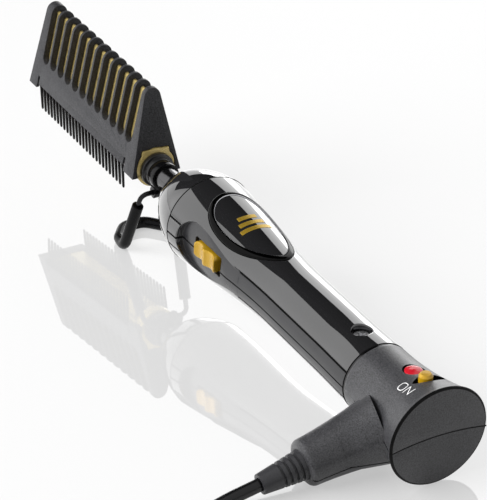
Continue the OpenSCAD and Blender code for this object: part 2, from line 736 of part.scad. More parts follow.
module tail_hollow() {
    turned(concat([[0, tail_wall], [rim_r - 3.4, tail_wall]],
        [for (x = steps(5, tail_len - 4, 6)) [tail_r(x) - tail_wall, x]],
        [[spigot_tail_r - spigot_wall, tail_len + 1], [spigot_tail_r - spigot_wall, half_space],
            [0, half_space]]));
    on_boss() {
        translate([0, 0, boss_bore_from]) cylinder(r = boss_end_r - 2.2, h = pocket_s - boss_bore_from);
        translate([0, 0, pocket_s - cut]) cylinder(r = boss_hole - 1.6, h = cut * 2);
        translate([0, 0, pocket_s + 1]) cylinder(r = relief_flange + seat, h = 2.2);
        translate([0, 0, pocket_s + 3]) cylinder(r = boss_hole, h = relief_in);
    }
}

// The seam of the two tail shells: a shallow arch, lowered under the boss
seam_arch = 91;
seam_top = 0.5;
seam_step_y = 15;
module below_seam() {
    difference() {
        rod_x(seam_arch, -cut, tail_len + 20, 0, seam_top - seam_arch);
        block([10, seam_step_y, -60], [35, 80, 40]);
    }
    intersection() {
        block([10, seam_step_y, -60], [35, 80, 40]);
        on_boss() translate([-40, 2.4, -20]) cube([80, 60, 90]);
    }
}

knob_x = 11.5;
knob_y = -0.8;
knob_r = 2.5;
knob_travel = 3.4;
slot_y = knob_y - knob_travel / 2;
eye_r = 10;             // the slot is the lens between two circles
eye_half = 2.9;
lamp_x = 19.6;
lamp_y = -1.5;
lamp_r = 3.25;
lamp_recess_r = 4;
post_x = tail_len - 6.2;
post_y = 8.3;
tail_post_r = 2.4;
head_seat_z = -8.6;
housing_x0 = knob_x - 4;
housing_x1 = knob_x + 4;
switch_floor = 8;
housing_top = 9.4;

module tail_top_cuts() {
    intersection() {
        translate([knob_x + eye_r - eye_half, slot_y, 8]) cylinder(r = eye_r, h = 20);
        translate([knob_x - eye_r + eye_half, slot_y, 8]) cylinder(r = eye_r, h = 20);
    }
    translate([lamp_x, lamp_y, 13.4]) cylinder(r = lamp_recess_r, h = 20);
    translate([lamp_x, lamp_y, 6]) cylinder(r = lamp_r + seat, h = 20);
}

module tail_posts(r, z0 = -12, z1 = 12) {
    for (s = [-1, 1]) translate([post_x, s * post_y, z0]) cylinder(r = r, h = z1 - z0);
}

module tail_core() {
    difference() {
        tail_solid();
        tail_hollow();
    }
    intersection() {
        tail_posts(tail_post_r);
        rod_x(12.6, post_x - 4, post_x + 4);
    }
}

module tail_upper() placed() color("#3d3d3f") difference() {
    union() {
        tail_core();
        intersection() {
            for (x = [housing_x0 - seat - 1.2, housing_x1 + seat])
                block([x, slot_y - 5, 5], [x + 1.2, slot_y + 5, 20]);
            turned([[0, 2], [rim_r - 3.4, 2], [rim_r - 4.4, 18], [0, 18]]);
        }
    }
    below_seam();
    tail_top_cuts();
    tail_posts(1.15, -12, 7);
}

module tail_lower() placed() color("#3d3d3f") intersection() {
    difference() {
        tail_core();
        tail_posts(1.5);
        tail_posts(2.3, -22, head_seat_z);
    }
    below_seam();
}

module tail_screws() placed() color("#8a8a8c") {
    tail_posts(1.1, head_seat_z - 1, 6);
    tail_posts(2.1, head_seat_z - 1.6, head_seat_z - seat);
}

module power_knob() placed() color("#d9a520") translate([knob_x, knob_y, 0]) {
    block([-1.5, -1.5, switch_floor + 0.1], [1.5, 1.5, housing_top + 0.6]);
    translate([0, 0, housing_top + 0.3]) cylinder(r = knob_r, h = 7.6);
    translate([0, 0, housing_top + 7.9]) cylinder(r1 = knob_r, r2 = knob_r - 0.7, h = 0.8);
}

module power_switch_body() placed() color("#22262b") {
    difference() {
        block([housing_x0, slot_y - 6, 3.4], [housing_x1, slot_y + 6, housing_top]);
        block([knob_x - 1.6, slot_y - 4, switch_floor], [knob_x + 1.6, slot_y + 4, housing_top + cut]);
    }
    block([housing_x0, lamp_y - 3, 2.2], [lamp_x + 3, lamp_y + 3, 3.4]);
}

module indicator_lens() placed() color([0.85, 0.1, 0.12, 0.8]) translate([lamp_x, lamp_y, 11.2]) intersection() {
    cylinder(r = lamp_r, h = 20);
    translate([0, 0, -8.6]) sphere(r = 12);
}

module indicator_lamp() placed() color("#ff5a4a") translate([lamp_x, lamp_y, 0]) {
    translate([-2.2, -2.2, 3.4 + seat]) cube([4.4, 4.4, 1.4]);
    translate([0, 0, 4.8]) cylinder(r = 1.5, h = 5.6);
}

// ---- cord ----
clamp_s = 11;
clamp_w = 4;

module cord_clamp() placed() color("#2a2a2c") on_boss() difference() {
    intersection() {
        translate([0, 0, clamp_s]) cylinder(r = boss_end_r - 2.2 - seat, h = clamp_w);
        translate([-10, -5, clamp_s - cut]) cube([20, 20, clamp_w + 2 * cut]);
    }
    translate([0, 0, clamp_s - cut]) cylinder(r = cord_d / 2, h = clamp_w + 2 * cut);
}

cord_r = cord_d / 2 - seat;
relief_tip = boss_len + relief_out;

module inner_cord() placed() color("#111111") on_boss()
    translate([0, 0, 7]) cylinder(r = cord_r, h = relief_tip - 8);

relief_end_r = 3.7;

module strain_relief() placed() color("#2e2e30") on_boss() difference() {
    union() {
        translate([0, 0, pocket_s + 1.1]) cylinder(r = relief_flange, h = 2);
        translate([0, 0, pocket_s + 3]) cylinder(r = relief_body, h = relief_in - 3);
        translate([0, 0, boss_len]) cylinder(r1 = relief_body - seat, r2 = relief_end_r, h = relief_out);
    }
    for (i = [0:3]) translate([0, 0, boss_len + 1.4 + i * 2.2]) difference() {
        cylinder(r = relief_body + 1, h = 1);
        translate([0, 0, -cut]) cylinder(r = relief_body - 1.2 - i * 0.22, h = 3);
    }
    translate([0, 0, pocket_s]) cylinder(r = cord_d / 2, h = relief_out + relief_in + cut);
}

// The cord's route on the floor: out of the strain relief, into the coil, and on to the plug
exit_s = relief_tip - 1;
exit_h = [boss_x, exit_s * cos(boss_droop), boss_z - exit_s * sin(boss_droop)];
exit_dir = [sin(boss_droop) * sin(rest_tilt), cos(boss_droop), -sin(boss_droop) * cos(rest_tilt)];
exit_at = [exit_h[0] * cos(rest_tilt) - exit_h[2] * sin(rest_tilt) - origin_x, exit_h[1] - origin_y,
    exit_h[0] * sin(rest_tilt) + exit_h[2] * cos(rest_tilt) + rest_lift];
LEAD = concat([exit_at, exit_at + 8 * exit_dir], [[-123.3, 55.2, 3.16], [-123.9, 59.2, 2.74], [-124.8, 63, 2.5],
    [-126.2, 66.8, 2.42], [-128.7, 72.2, 2.42], [-132.2, 78.3, 2.42], [-136.5, 85, 2.42], [-140.2, 91.1, 2.42]]);
COIL_AT = [-173, 80];
TAIL = [[-206.6, 74, 12], [-206, 68, 11.6], [-204.8, 62, 10.6], [-203.1, 56, 9.1], [-201.4, 50, 7.7],
    [-200.1, 44, 6.8], [-199.5, 36, 6.4]];

module cord_run(pts) {
    swept(pts, cord_r, 12, [0, 0, 1]);
}

coil_in = 4.5 * cord_d;
coil_out = 7.5 * cord_d;
coil_h = 3 * cord_d;

module cord_lead() color("#080808") cord_run(LEAD);

module cord_coil() color("#080808") translate([COIL_AT[0], COIL_AT[1], 0]) rotate_extrude()
    polygon([[coil_in + 1.6, 0], [coil_out - 1.6, 0], [coil_out, 1.6], [coil_out, coil_h - 1.6],
        [coil_out - 1.6, coil_h], [coil_in + 1.6, coil_h], [coil_in, coil_h - 1.6], [coil_in, 1.6]]);

module cord_tail() color("#080808") cord_run(TAIL);

tie_t = 0.9;
tie_w = 5;

// Ring of rectangular section, standing on the floor
module floor_ring(inner, outer, bottom, top) difference() {
    translate([0, 0, bottom]) cylinder(r = outer, h = top - bottom);
    translate([0, 0, bottom - cut]) cylinder(r = inner, h = top - bottom + 2 * cut);
}

module cord_tie() color("#1a1a1a") translate([COIL_AT[0], COIL_AT[1], 0]) difference() {
    intersection() {
        floor_ring(coil_in - seat - tie_t, coil_out + seat + tie_t, 0, coil_h + seat + tie_t);
        block([-tie_w / 2, 0, -cut], [tie_w / 2, coil_out + 5, coil_h + 5]);
    }
    floor_ring(coil_in - seat, coil_out + seat, -cut, coil_h + seat);
}

plug_y = 38;
plug_z = 6.4;
plug_x = -199.5;

module plug_body() color("#0d0d0d") translate([plug_x, plug_y, plug_z]) rotate([90, 0, 0]) difference() {
    union() {
        cylinder(r1 = 3.6, r2 = 5.2, h = 12);
        translate([-8, -6.2, 12]) cube([16, 12.4, 20]);
        translate([-9.5, -6.4, 29]) cube([19, 12.8, 4]);
    }
    translate([0, 0, -cut]) cylinder(r = cord_d / 2, h = 6);
    for (s = [-1, 1]) translate([s * 6.35 - 0.8, -3.2, 27]) cube([1.6, 6.4, 10]);
}

module plug_blades() color("#c9c9cc") translate([plug_x, plug_y, plug_z]) rotate([90, 0, 0])
    for (s = [-1, 1]) translate([s * 6.35 - 0.76, -3.15, 27.1]) cube([1.52, 6.3, 22]);

comb_guard();
heating_block();
tooth_rail_left();
tooth_rail_right();
heater_cartridge();
thermal_fuse();
guard_screw();
neck_tube();
neck_washer();
stand_bracket();
stand_wire();
stand_sleeve();
nose_cap();
top_shell();
bottom_shell();
badge_ring();
badge_window();
badge_bars();
heat_switch_button();
heat_switch_body();
circuit_board();
board_parts();
heater_leads();
mains_leads();
handle_screw();
collar_ring();
tail_upper();
tail_lower();
power_knob();
power_switch_body();
indicator_lens();
indicator_lamp();
tail_screws();
cord_clamp();
inner_cord();
strain_relief();
cord_lead();
cord_coil();
cord_tail();
cord_tie();
plug_body();
plug_blades();
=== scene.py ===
"""Looks of an electric hot comb: comb head with heat guard, stand, handle, tail and mains cord.

Every piece is drawn in the handle's own frame, in millimetres: x runs from the tail's end
disc to the comb head, y to the side of the heat switch and the cord, z up. Stance sets it
down on the floor in the shared frame, in metres.
"""
import json
import logging
import math
from dataclasses import dataclass, field
from enum import Enum
from functools import cache
from typing import Callable, Iterable, Sequence

import bmesh
import bpy
import numpy as np
from mathutils import Euler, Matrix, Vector
from mathutils.geometry import delaunay_2d_cdt

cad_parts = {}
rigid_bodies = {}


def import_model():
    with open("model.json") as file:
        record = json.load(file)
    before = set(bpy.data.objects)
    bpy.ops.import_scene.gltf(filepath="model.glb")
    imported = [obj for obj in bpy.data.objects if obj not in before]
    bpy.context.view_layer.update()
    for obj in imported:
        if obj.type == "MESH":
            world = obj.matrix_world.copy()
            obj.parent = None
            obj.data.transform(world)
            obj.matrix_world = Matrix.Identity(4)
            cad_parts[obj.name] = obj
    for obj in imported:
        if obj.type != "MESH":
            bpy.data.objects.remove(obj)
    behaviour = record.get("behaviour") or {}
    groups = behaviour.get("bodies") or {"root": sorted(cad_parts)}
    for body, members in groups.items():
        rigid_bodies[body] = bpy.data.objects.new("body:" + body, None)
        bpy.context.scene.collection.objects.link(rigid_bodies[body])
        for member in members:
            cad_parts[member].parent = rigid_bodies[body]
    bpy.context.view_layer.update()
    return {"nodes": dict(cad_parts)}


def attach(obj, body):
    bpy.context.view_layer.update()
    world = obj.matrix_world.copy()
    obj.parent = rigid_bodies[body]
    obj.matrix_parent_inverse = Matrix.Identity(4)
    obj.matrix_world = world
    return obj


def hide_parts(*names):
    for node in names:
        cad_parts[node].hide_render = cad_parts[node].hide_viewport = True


log = logging.getLogger("hot_comb")
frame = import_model()
MM_PER_M = 1000
NUDGE = 0.01

Points = np.ndarray
Face = tuple[int, ...]
Pair = tuple[float, float]
Triple = tuple[float, float, float]
Tree, Node, Socket = bpy.types.NodeTree, bpy.types.Node, bpy.types.NodeSocket
Object, Mesh, Material = bpy.types.Object, bpy.types.Mesh, bpy.types.Material


class Body(Enum):
    """Moving bodies of the part."""

    COMB = "comb"
    STAND = "stand"
    HEAT_SWITCH = "heat_switch"
    POWER_SWITCH = "power_switch"


@dataclass(frozen=True)
class Stance:
    """How the comb stands on the rim of its tail and the foot of its stand."""

    tilt: float = math.radians(4.591798)
    shift: Triple = (-146.368832, -10.764997, 18.877539)

    def place(self, points: Sequence) -> Points:
        """Return points of the handle frame, in millimetres, in the shared frame's metres."""
        rows = np.asarray(points, float).reshape(-1, 3)
        return (self.turned(rows) + self.shift) / MM_PER_M

    def back(self, points: Points) -> Points:
        """Return points of the shared frame, in millimetres, in the handle frame."""
        return self.turned(points - self.shift, -1)

    def turned(self, ways: Points, sense: int = 1) -> Points:
        """Turn directions of the handle frame into the shared frame.

        Args:
            ways: rows of x, y, z.
            sense: -1 to turn them back.

        Returns:
            The turned rows.
        """
        x, y, z = ways.T
        c, s = math.cos(self.tilt), sense * math.sin(self.tilt)
        return np.column_stack((x * c - z * s, y, x * s + z * c))


STANCE = Stance()


# ---------------------------------------------------------------- node trees
def fill_slot(slot: Socket, value: object) -> None:
    """Link a socket to an input, or set the input to a plain value.

    Args:
        slot: the input.
        value: a socket, or a plain value.
    """
    if isinstance(value, Socket):
        slot.id_data.links.new(value, slot)
    else:
        slot.default_value = value


def feed(node: Node, **values: object) -> Node:
    """Give a node's inputs their values or links.

    Args:
        node: the node.
        values: a value or socket for each input, named with _ in place of spaces.

    Returns:
        The same node.
    """
    for name, value in values.items():
        fill_slot(node.inputs[name.replace("_", " ")], value)
    return node


def add_node(tree: Tree, kind: str, **values: object) -> Node:
    """Add a node of a kind to a tree and feed its inputs."""
    return feed(tree.nodes.new(kind), **values)


def add_group(tree: Tree, group: Tree, **values: object) -> Node:
    """Add a node for a shader group to a tree and feed its inputs.

    Args:
        tree: the tree it goes into.
        group: the shader group.
        values: as for feed.

    Returns:
        The node.
    """
    node = tree.nodes.new("ShaderNodeGroup")
    node.node_tree = group
    return feed(node, **values)


def in_order(node: Node, *values: object) -> Socket:
    """Fill a node's inputs in order.

    Args:
        node: the node.
        values: a value or socket for each input.

    Returns:
        The node's first output.
    """
    for slot, value in zip(node.inputs, values):
        fill_slot(slot, value)
    return node.outputs[0]


def math_node(tree: Tree, operation: str, a: object, b: object) -> Socket:
    """Add a Math node.

    Args:
        tree: the tree it goes into.
        operation: the node's name of what it does.
        a: first socket or number.
        b: second socket or number.

    Returns:
        The node's output.
    """
    node = tree.nodes.new("ShaderNodeMath")
    node.operation = operation
    return in_order(node, a, b)


def mixed(tree: Tree, share: Socket, first: Socket, second: Socket) -> Socket:
    """Mix two shaders by the share of the second."""
    return in_order(tree.nodes.new("ShaderNodeMixShader"), share, first, second)


def scaled(tree: Tree, vector: Socket, by: Socket) -> Socket:
    """Add a node that multiplies a vector or a colour by a number.

    Args:
        tree: the tree it goes into.
        vector: the vector or colour.
        by: the number.

    Returns:
        The node's output.
    """
    node = tree.nodes.new("ShaderNodeVectorMath")
    node.operation = "SCALE"
    fill_slot(node.inputs[0], vector)
    return feed(node, Scale=by).outputs[0]


def add_sockets(group: Tree, inputs: dict[str, object], outputs: dict[str, object]) -> None:
    """Add named sockets to a node group.

    Args:
        group: the group that gets the sockets.
        inputs: kind of each input, such as Float, or its kind and default value.
        outputs: kind of each output.
    """
    for way, sockets in (("INPUT", inputs), ("OUTPUT", outputs)):
        for name, given in sockets.items():
            kind, *value = (given,) if isinstance(given, str) else given
            made = group.interface.new_socket(
                name=name, in_out=way, socket_type=f"NodeSocket{kind}")
            if value:
                made.default_value = value[0]


@cache
def grain_group() -> Tree:
    """Make the fine moulded grain of matte plastic: its height, and a colour tinted by it.

    Returns:
        The shader group.
    """
    group = bpy.data.node_groups.new("fine_grain", "ShaderNodeTree")
    add_sockets(group, {"Vector": "Vector", "Scale": ("Float", 1800.0),
                        "Color": ("Color", (0.05, 0.05, 0.05, 1)), "Speckle": ("Float", 0.1)},
                {"Height": "Float", "Color": "Color"})
    given = group.nodes.new("NodeGroupInput").outputs
    mean, fine_share, broad_share, broad_scale = 0.5, 2.4, 0.35, 0.045
    fine = add_node(group, "ShaderNodeTexNoise", Vector=given["Vector"], Scale=given["Scale"],
                    Detail=3.0, Roughness=0.62)
    broad = add_node(group, "ShaderNodeTexNoise", Vector=given["Vector"], Detail=2.0,
                     Scale=math_node(group, "MULTIPLY", given["Scale"], broad_scale))
    swings = [math_node(group, "MULTIPLY",
                        math_node(group, "SUBTRACT", noise.outputs["Fac"], mean), share)
              for noise, share in ((fine, fine_share), (broad, broad_share))]
    swing = math_node(group, "MULTIPLY", math_node(group, "ADD", *swings), given["Speckle"])
    tint = scaled(group, given["Color"], math_node(group, "ADD", swing, 1.0))
    add_node(group, "NodeGroupOutput", Color=tint, Height=fine.outputs["Fac"])
    return group


@cache
def handling_group() -> Tree:
    """Make faint marks of handling: a roughness that varies slowly, with finer streaks.

    Returns:
        The shader group.
    """
    group = bpy.data.node_groups.new("handling_marks", "ShaderNodeTree")
    add_sockets(group, {"Vector": "Vector", "Scale": ("Float", 60.0), "Low": ("Float", 0.1),
                        "High": ("Float", 0.2)}, {"Roughness": "Float"})
    given = group.nodes.new("NodeGroupInput").outputs
    noise = add_node(group, "ShaderNodeTexNoise", Vector=given["Vector"], Scale=given["Scale"],
                     Detail=5.0, Roughness=0.6)
    spread = add_node(group, "ShaderNodeMapRange", Value=noise.outputs["Fac"], From_Min=0.3,
                      From_Max=0.7, To_Min=given["Low"], To_Max=given["High"])
    add_node(group, "NodeGroupOutput", Roughness=spread.outputs["Result"])
    return group


def linear(code: str) -> tuple[float, float, float, float]:
    """Turn a hex colour into linear red, green, blue and 1.

    Args:
        code: the colour, such as #ff8000.

    Returns:
        Its channels and full alpha, each from 0 to 1.
    """
    parts = [int(code[i:i + 2], 16) / 255 for i in (1, 3, 5)]
    return tuple(v / 12.92 if v <= 0.04045 else ((v + 0.055) / 1.055) ** 2.4
                 for v in parts) + (1.0,)


def new_material(name: str, **values: object) -> tuple[Material, Node]:
    """Make a material whose Principled BSDF is fed with the values.

    Args:
        name: the material's name.
        values: as for feed.

    Returns:
        The material and its Principled BSDF.
    """
    material = bpy.data.materials.new(name)
    material.use_nodes = True
    return material, feed(material.node_tree.nodes["Principled BSDF"], **values)


# ---------------------------------------------------------------- finishes
@dataclass(frozen=True)
class Finish:
    """A surface finish: its colour, gloss and moulded grain.

    Lengths are millimetres; roughness runs from worn_low to worn_high over the surface.
    """

    name: str
    colour: str
    worn_low: float = 0.3
    worn_high: float = 0.4
    metallic: float = 0.0
    ior: float = 1.5
    coat: float = 0.0
    coat_roughness: float = 0.02
    clear: float = 0.0
    grain_height: float = 0.0
    grain_size: float = 0.5
    speckle: float = 0.0
    marks: float = 12.0

    def build(self) -> Material:
        """Make the material with its grain and handling marks.

        Returns:
            The finished material.
        """
        colour = linear(self.colour)
        material, shader = new_material(
            self.name, Base_Color=colour, Metallic=self.metallic, IOR=self.ior,
            Coat_Weight=self.coat, Coat_Roughness=self.coat_roughness,
            Transmission_Weight=self.clear)
        material.diffuse_color = colour
        tree = material.node_tree
        where = tree.nodes.new("ShaderNodeTexCoord").outputs["Object"]
        marks = add_group(tree, handling_group(), Vector=where, Scale=MM_PER_M / self.marks,
                          Low=self.worn_low, High=self.worn_high)
        feed(shader, Roughness=marks.outputs["Roughness"])
        if not (self.grain_height or self.speckle):
            return material
        grain = add_group(tree, grain_group(), Vector=where, Scale=MM_PER_M / self.grain_size,
                          Color=colour, Speckle=self.speckle)
        feed(shader, Base_Color=grain.outputs["Color"])
        if self.grain_height:
            bump = add_node(tree, "ShaderNodeBump", Height=grain.outputs["Height"],
                            Distance=self.grain_height / MM_PER_M, Strength=1.0)
            feed(shader, Normal=bump.outputs["Normal"])
        return material


GUARD_BLACK = Finish("guard_black_matte", "#2b2b2d", 0.42, 0.52, ior=1.32, grain_height=0.07,
                     grain_size=0.55, speckle=1.5)
HEATED_GOLD = Finish("heated_gold", "#b8a468", 0.2, 0.34, metallic=0.35, grain_height=0.01,
                     grain_size=0.9, speckle=0.12)
TOOTH_BLACK = Finish("tooth_black", "#050505", 0.36, 0.48, ior=1.22, speckle=0.1)
STEEL = Finish("bright_steel", "#b8b8ba", 0.22, 0.36, metallic=1.0)
CERAMIC = Finish("heater_ceramic", "#cfcabd", 0.5, 0.6, speckle=0.06)
NECK_CHROME = Finish("neck_black_chrome", "#565657", 0.12, 0.2, metallic=1.0)
WASHER_BLACK = Finish("washer_black", "#0c0c0d", 0.28, 0.38)
STAND_BLACK = Finish("stand_black_wire", "#050506", 0.14, 0.24, ior=1.3)
SLEEVE_RUBBER = Finish("sleeve_rubber", "#040405", 0.24, 0.34, ior=1.22)
PIANO_BLACK = Finish("piano_black", "#1b1b1c", 0.02, 0.045, ior=1.55, coat=1.0, marks=30)
TRIM_SATIN = Finish("trim_satin", "#1c1c1e", 0.26, 0.34, grain_height=0.02, grain_size=0.6,
                    speckle=0.3)
# Black of joints and grooves; on the tail it is also a painted dark reflection on the rim and
# painted shade in the lamp's and knob's holes.
LINE_BLACK = Finish("line_black", "#020202", 0.5, 0.6, ior=1.2)
RING_BLACK = Finish("ring_black", "#010101", 0.06, 0.1, ior=1.17)
RING_EDGE = Finish("ring_edge", "#c4c4c8", 0.16, 0.24, metallic=1.0)
MARK_WHITE = Finish("mark_white", "#d8d8d8", 0.4, 0.5)
WINDOW_BLACK = Finish("window_black", "#1b1b1c", 0.015, 0.03, ior=1.55, coat=1.0)
BADGE_GOLD = Finish("badge_gold", "#a98a2c", 0.2, 0.3, metallic=0.6)
SWITCH_GOLD = Finish("switch_gold", "#a07d10", 0.2, 0.3, metallic=0.3, coat=0.2,
                     grain_height=0.004, grain_size=0.8, speckle=0.05)
KNOB_GOLD = Finish("knob_gold", "#ab8410", 0.2, 0.3, metallic=0.2, coat=0.2, speckle=0.05)
HOUSING_GREY = Finish("housing_grey", "#22262b", 0.45, 0.55)
BOARD_GREEN = Finish("board_green", "#2d6b3c", 0.35, 0.5, speckle=0.15)
PART_GREY = Finish("part_grey", "#40444a", 0.4, 0.5)
LEAD_SLEEVE = Finish("lead_sleeve", "#e3ddc9", 0.6, 0.7, speckle=0.1)
LEAD_BROWN = Finish("lead_brown", "#8a5a2b", 0.4, 0.5)
CHARCOAL = Finish("charcoal_satin", "#343436", 0.3, 0.38, ior=1.42, grain_height=0.045,
                  speckle=1.4)
COLLAR_BLACK = Finish("collar_black", "#060606", 0.1, 0.18)
RED_LENS = Finish("red_lens", "#d2202f", 0.1, 0.16, clear=0.3)
LAMP_RED = Finish("lamp_red", "#ff5a4a", 0.3, 0.4)
CORD_BLACK = Finish("cord_black", "#060607", 0.24, 0.36, ior=1.38, speckle=0.1)
RELIEF_RUBBER = Finish("relief_rubber", "#2c2c2e", 0.34, 0.44, ior=1.38, grain_height=0.02,
                       speckle=0.4)
PLUG_RUBBER = Finish("plug_rubber", "#101011", 0.34, 0.44)
BLADE_METAL = Finish("blade_metal", "#c9c9cc", 0.2, 0.32, metallic=1.0)

PACKED: tuple[tuple[Finish, tuple[str, ...]], ...] = (
    (CERAMIC, ("heater_cartridge", "thermal_fuse")),
    (HOUSING_GREY, ("heat_switch_body", "power_switch_body")),
    (BOARD_GREEN, ("circuit_board",)),
    (PART_GREY, ("board_parts", "cord_clamp")),
    (LEAD_SLEEVE, ("heater_leads",)),
    (LEAD_BROWN, ("mains_leads",)),
    (STEEL, ("tail_screws",)),
    (LAMP_RED, ("indicator_lamp",)),
    (CORD_BLACK, ("inner_cord",)),
    (PLUG_RUBBER, ("cord_tie",)),
    (BLADE_METAL, ("plug_blades",)),
)


class Paintbox:
    """Materials by finish, each made once."""

    @staticmethod
    @cache
    def material(finish: Finish) -> Material:
        """Return the material of a finish."""
        return finish.build()

    @classmethod
    def dress(cls, obj: Object, *finishes: Finish) -> None:
        """Give an object its finishes, in slot order.

        Args:
            obj: the object.
            finishes: its finishes, in slot order.
        """
        obj.data.materials.clear()
        for finish in finishes:
            obj.data.materials.append(cls.material(finish))


# ---------------------------------------------------------------- meshes
def link_object(name: str, data: bpy.types.ID) -> Object:
    """Make an object of a mesh, light or camera and link it to the scene.

    Args:
        name: the object's name.
        data: its mesh, light or camera.

    Returns:
        The new object.
    """
    obj = bpy.data.objects.new(name, data)
    bpy.context.scene.collection.objects.link(obj)
    return obj


def mesh_object(name: str, points: Points, faces: Iterable[Face], finish: Finish,
                body: Body = Body.COMB, smooth: bool = True) -> Object:
    """Make a piece from points in the shared frame and let it ride on its body.

    Args:
        name: the piece's name.
        points: vertices in metres.
        faces: corner numbers of each face.
        finish: the finish of all faces.
        body: the body that carries the piece.
        smooth: True to shade the faces smoothly.

    Returns:
        The new object.
    """
    mesh = bpy.data.meshes.new(name)
    mesh.from_pydata([tuple(p) for p in points], [], [tuple(f) for f in faces])
    mesh.validate()
    if smooth:
        mesh.shade_smooth()
    else:
        mesh.shade_flat()
    obj = link_object(name, mesh)
    Paintbox.dress(obj, finish)
    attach(obj, body.value)
    return obj


def applied(obj: Object, modifier: bpy.types.Modifier) -> None:
    """Replace an object's mesh by what its modifier makes of it.

    Args:
        obj: the object.
        modifier: its modifier, which goes.
    """
    made = bpy.data.meshes.new_from_object(
        obj.evaluated_get(bpy.context.evaluated_depsgraph_get()))
    obj.modifiers.remove(modifier)
    obj.data = made


def turn_outward(mesh: Mesh) -> None:
    """Turn all faces of a closed mesh outwards.

    Args:
        mesh: the mesh.
    """
    shape = bmesh.new()
    shape.from_mesh(mesh)
    bmesh.ops.recalc_face_normals(shape, faces=shape.faces)
    shape.to_mesh(mesh)
    shape.free()


def quads(rows: int, around: int, closed: bool = True, looped: bool = False,
          start: int = 0) -> list[Face]:
    """Return the faces between neighbouring rows of points.

    Args:
        rows: how many rows there are.
        around: points in each row.
        closed: True if each row is a ring.
        looped: True if the last row meets the first.
        start: number of the first point.

    Returns:
        Corner numbers of each face, row by row.
    """
    faces = []
    for i in range(rows if looped else rows - 1):
        a, b = start + i * around, start + (i + 1) % rows * around
        for k in range(around if closed else around - 1):
            j = (k + 1) % around
            faces.append((a + k, a + j, b + j, b + k))
    return faces


def tube(path: Points, radius: float, sides: int) -> tuple[Points, list[Face]]:
    """Sweep a circle along a path, without twist.

    Args:
        path: points of the centre line.
        radius: the tube's radius.
        sides: corners of its section.

    Returns:
        The vertices and faces of the closed tube.
    """
    ahead = np.gradient(path, axis=0)
    ahead /= np.linalg.norm(ahead, axis=1)[:, None]
    up = np.array([0.0, 0.0, 1.0])
    rings = []
    angles = np.linspace(0, 2 * np.pi, sides, endpoint=False)
    for centre, t in zip(path, ahead):
        up = up - t * (up @ t)
        up /= np.linalg.norm(up)
        side = np.cross(t, up)
        rings.append(centre + radius * (np.outer(np.cos(angles), up)
                                        + np.outer(np.sin(angles), side)))
    last = (len(path) - 1) * sides
    faces = [f[::-1] for f in quads(len(path), sides)]
    return np.concatenate(rings), faces + [
        tuple(range(sides)), tuple(range(last, last + sides))[::-1]]


# ---------------------------------------------------------------- handle
UNREACHED = 9.0


def smooth_step(value: Points) -> Points:
    """Ease from 0 to 1 with level ends."""
    t = np.clip(value, 0.0, 1.0)
    return t * t * (3 - 2 * t)


def within(distance: Points, half: float) -> Points:
    """Return 1 well inside an outline, 0 well outside it, and an ease between, half each way."""
    return 1 - smooth_step((distance + half) / (2 * half))


def loop_distance(points: Points, loop: Points) -> Points:
    """Measure how far points lie outside a closed outline.

    Args:
        points: rows of two coordinates.
        loop: the outline's corners, in order.

    Returns:
        Signed distances, negative inside.
    """
    result = np.full(len(points), 1e9)
    inside = np.zeros(len(points), bool)
    for a, b in zip(loop, np.roll(loop, -1, axis=0)):
        ab, ap = b - a, points - a
        t = np.clip((ap @ ab) / max(float(ab @ ab), 1e-12), 0, 1)
        result = np.minimum(result, np.hypot(*(ap - t[:, None] * ab).T))
        spans = (a[1] > points[:, 1]) != (b[1] > points[:, 1])
        if a[1] != b[1]:
            inside ^= spans & (points[:, 0] < a[0] + (points[:, 1] - a[1]) * ab[0] / ab[1])
    return np.where(inside, -result, result)


def grown(loop: Points, by: float) -> Points:
    """Move a closed counter-clockwise outline outwards.

    Args:
        loop: the outline's corners, in order.
        by: how far; negative moves it inwards.

    Returns:
        The moved outline.
    """
    ahead = np.roll(loop, -1, axis=0) - np.roll(loop, 1, axis=0)
    ahead /= np.linalg.norm(ahead, axis=1)[:, None]
    return loop + by * np.column_stack((ahead[:, 1], -ahead[:, 0]))


def distance_near(near: Points, a: Points, b: Points, loop: Points) -> Points:
    """Measure distances to an outline only where they matter.

    Args:
        near: True for each place to measure.
        a: first coordinates.
        b: second coordinates.
        loop: the outline's corners, in order.

    Returns:
        Signed distances, negative inside; a large one where nothing is measured.
    """
    result = np.full(len(a), UNREACHED)
    result[near] = loop_distance(np.column_stack((a, b))[near], loop)
    return result


@dataclass(frozen=True)
class HandleForm:
    """Outer form of the handle, turned about its axis."""

    back: float = 39.2
    seam: float = 158.3
    collar: float = 13.5
    waist: float = 13.2
    waist_from: float = 60.0
    waist_to: float = 92.0
    bulge: float = 18.2
    bulge_at: float = 166.0
    bore: float = 11.0
    front_bore: float = 12.2

    def radius(self, x: Points) -> Points:
        """Return the outer radius at places along the axis.

        Args:
            x: the places.

        Returns:
            The radii.
        """
        behind = (self.waist_from - x) / (self.waist_from - self.back)
        ahead = (x - self.waist_to) / (self.bulge_at - self.waist_to)
        rear = (1 - np.cos(np.pi * np.clip(behind, 0, 1))) / 2
        front = (1 - np.cos(np.pi * np.clip(ahead, 0, 1.2))) / 2
        return (self.waist + (self.collar - self.waist) * rear
                + (self.bulge - self.waist) * front)


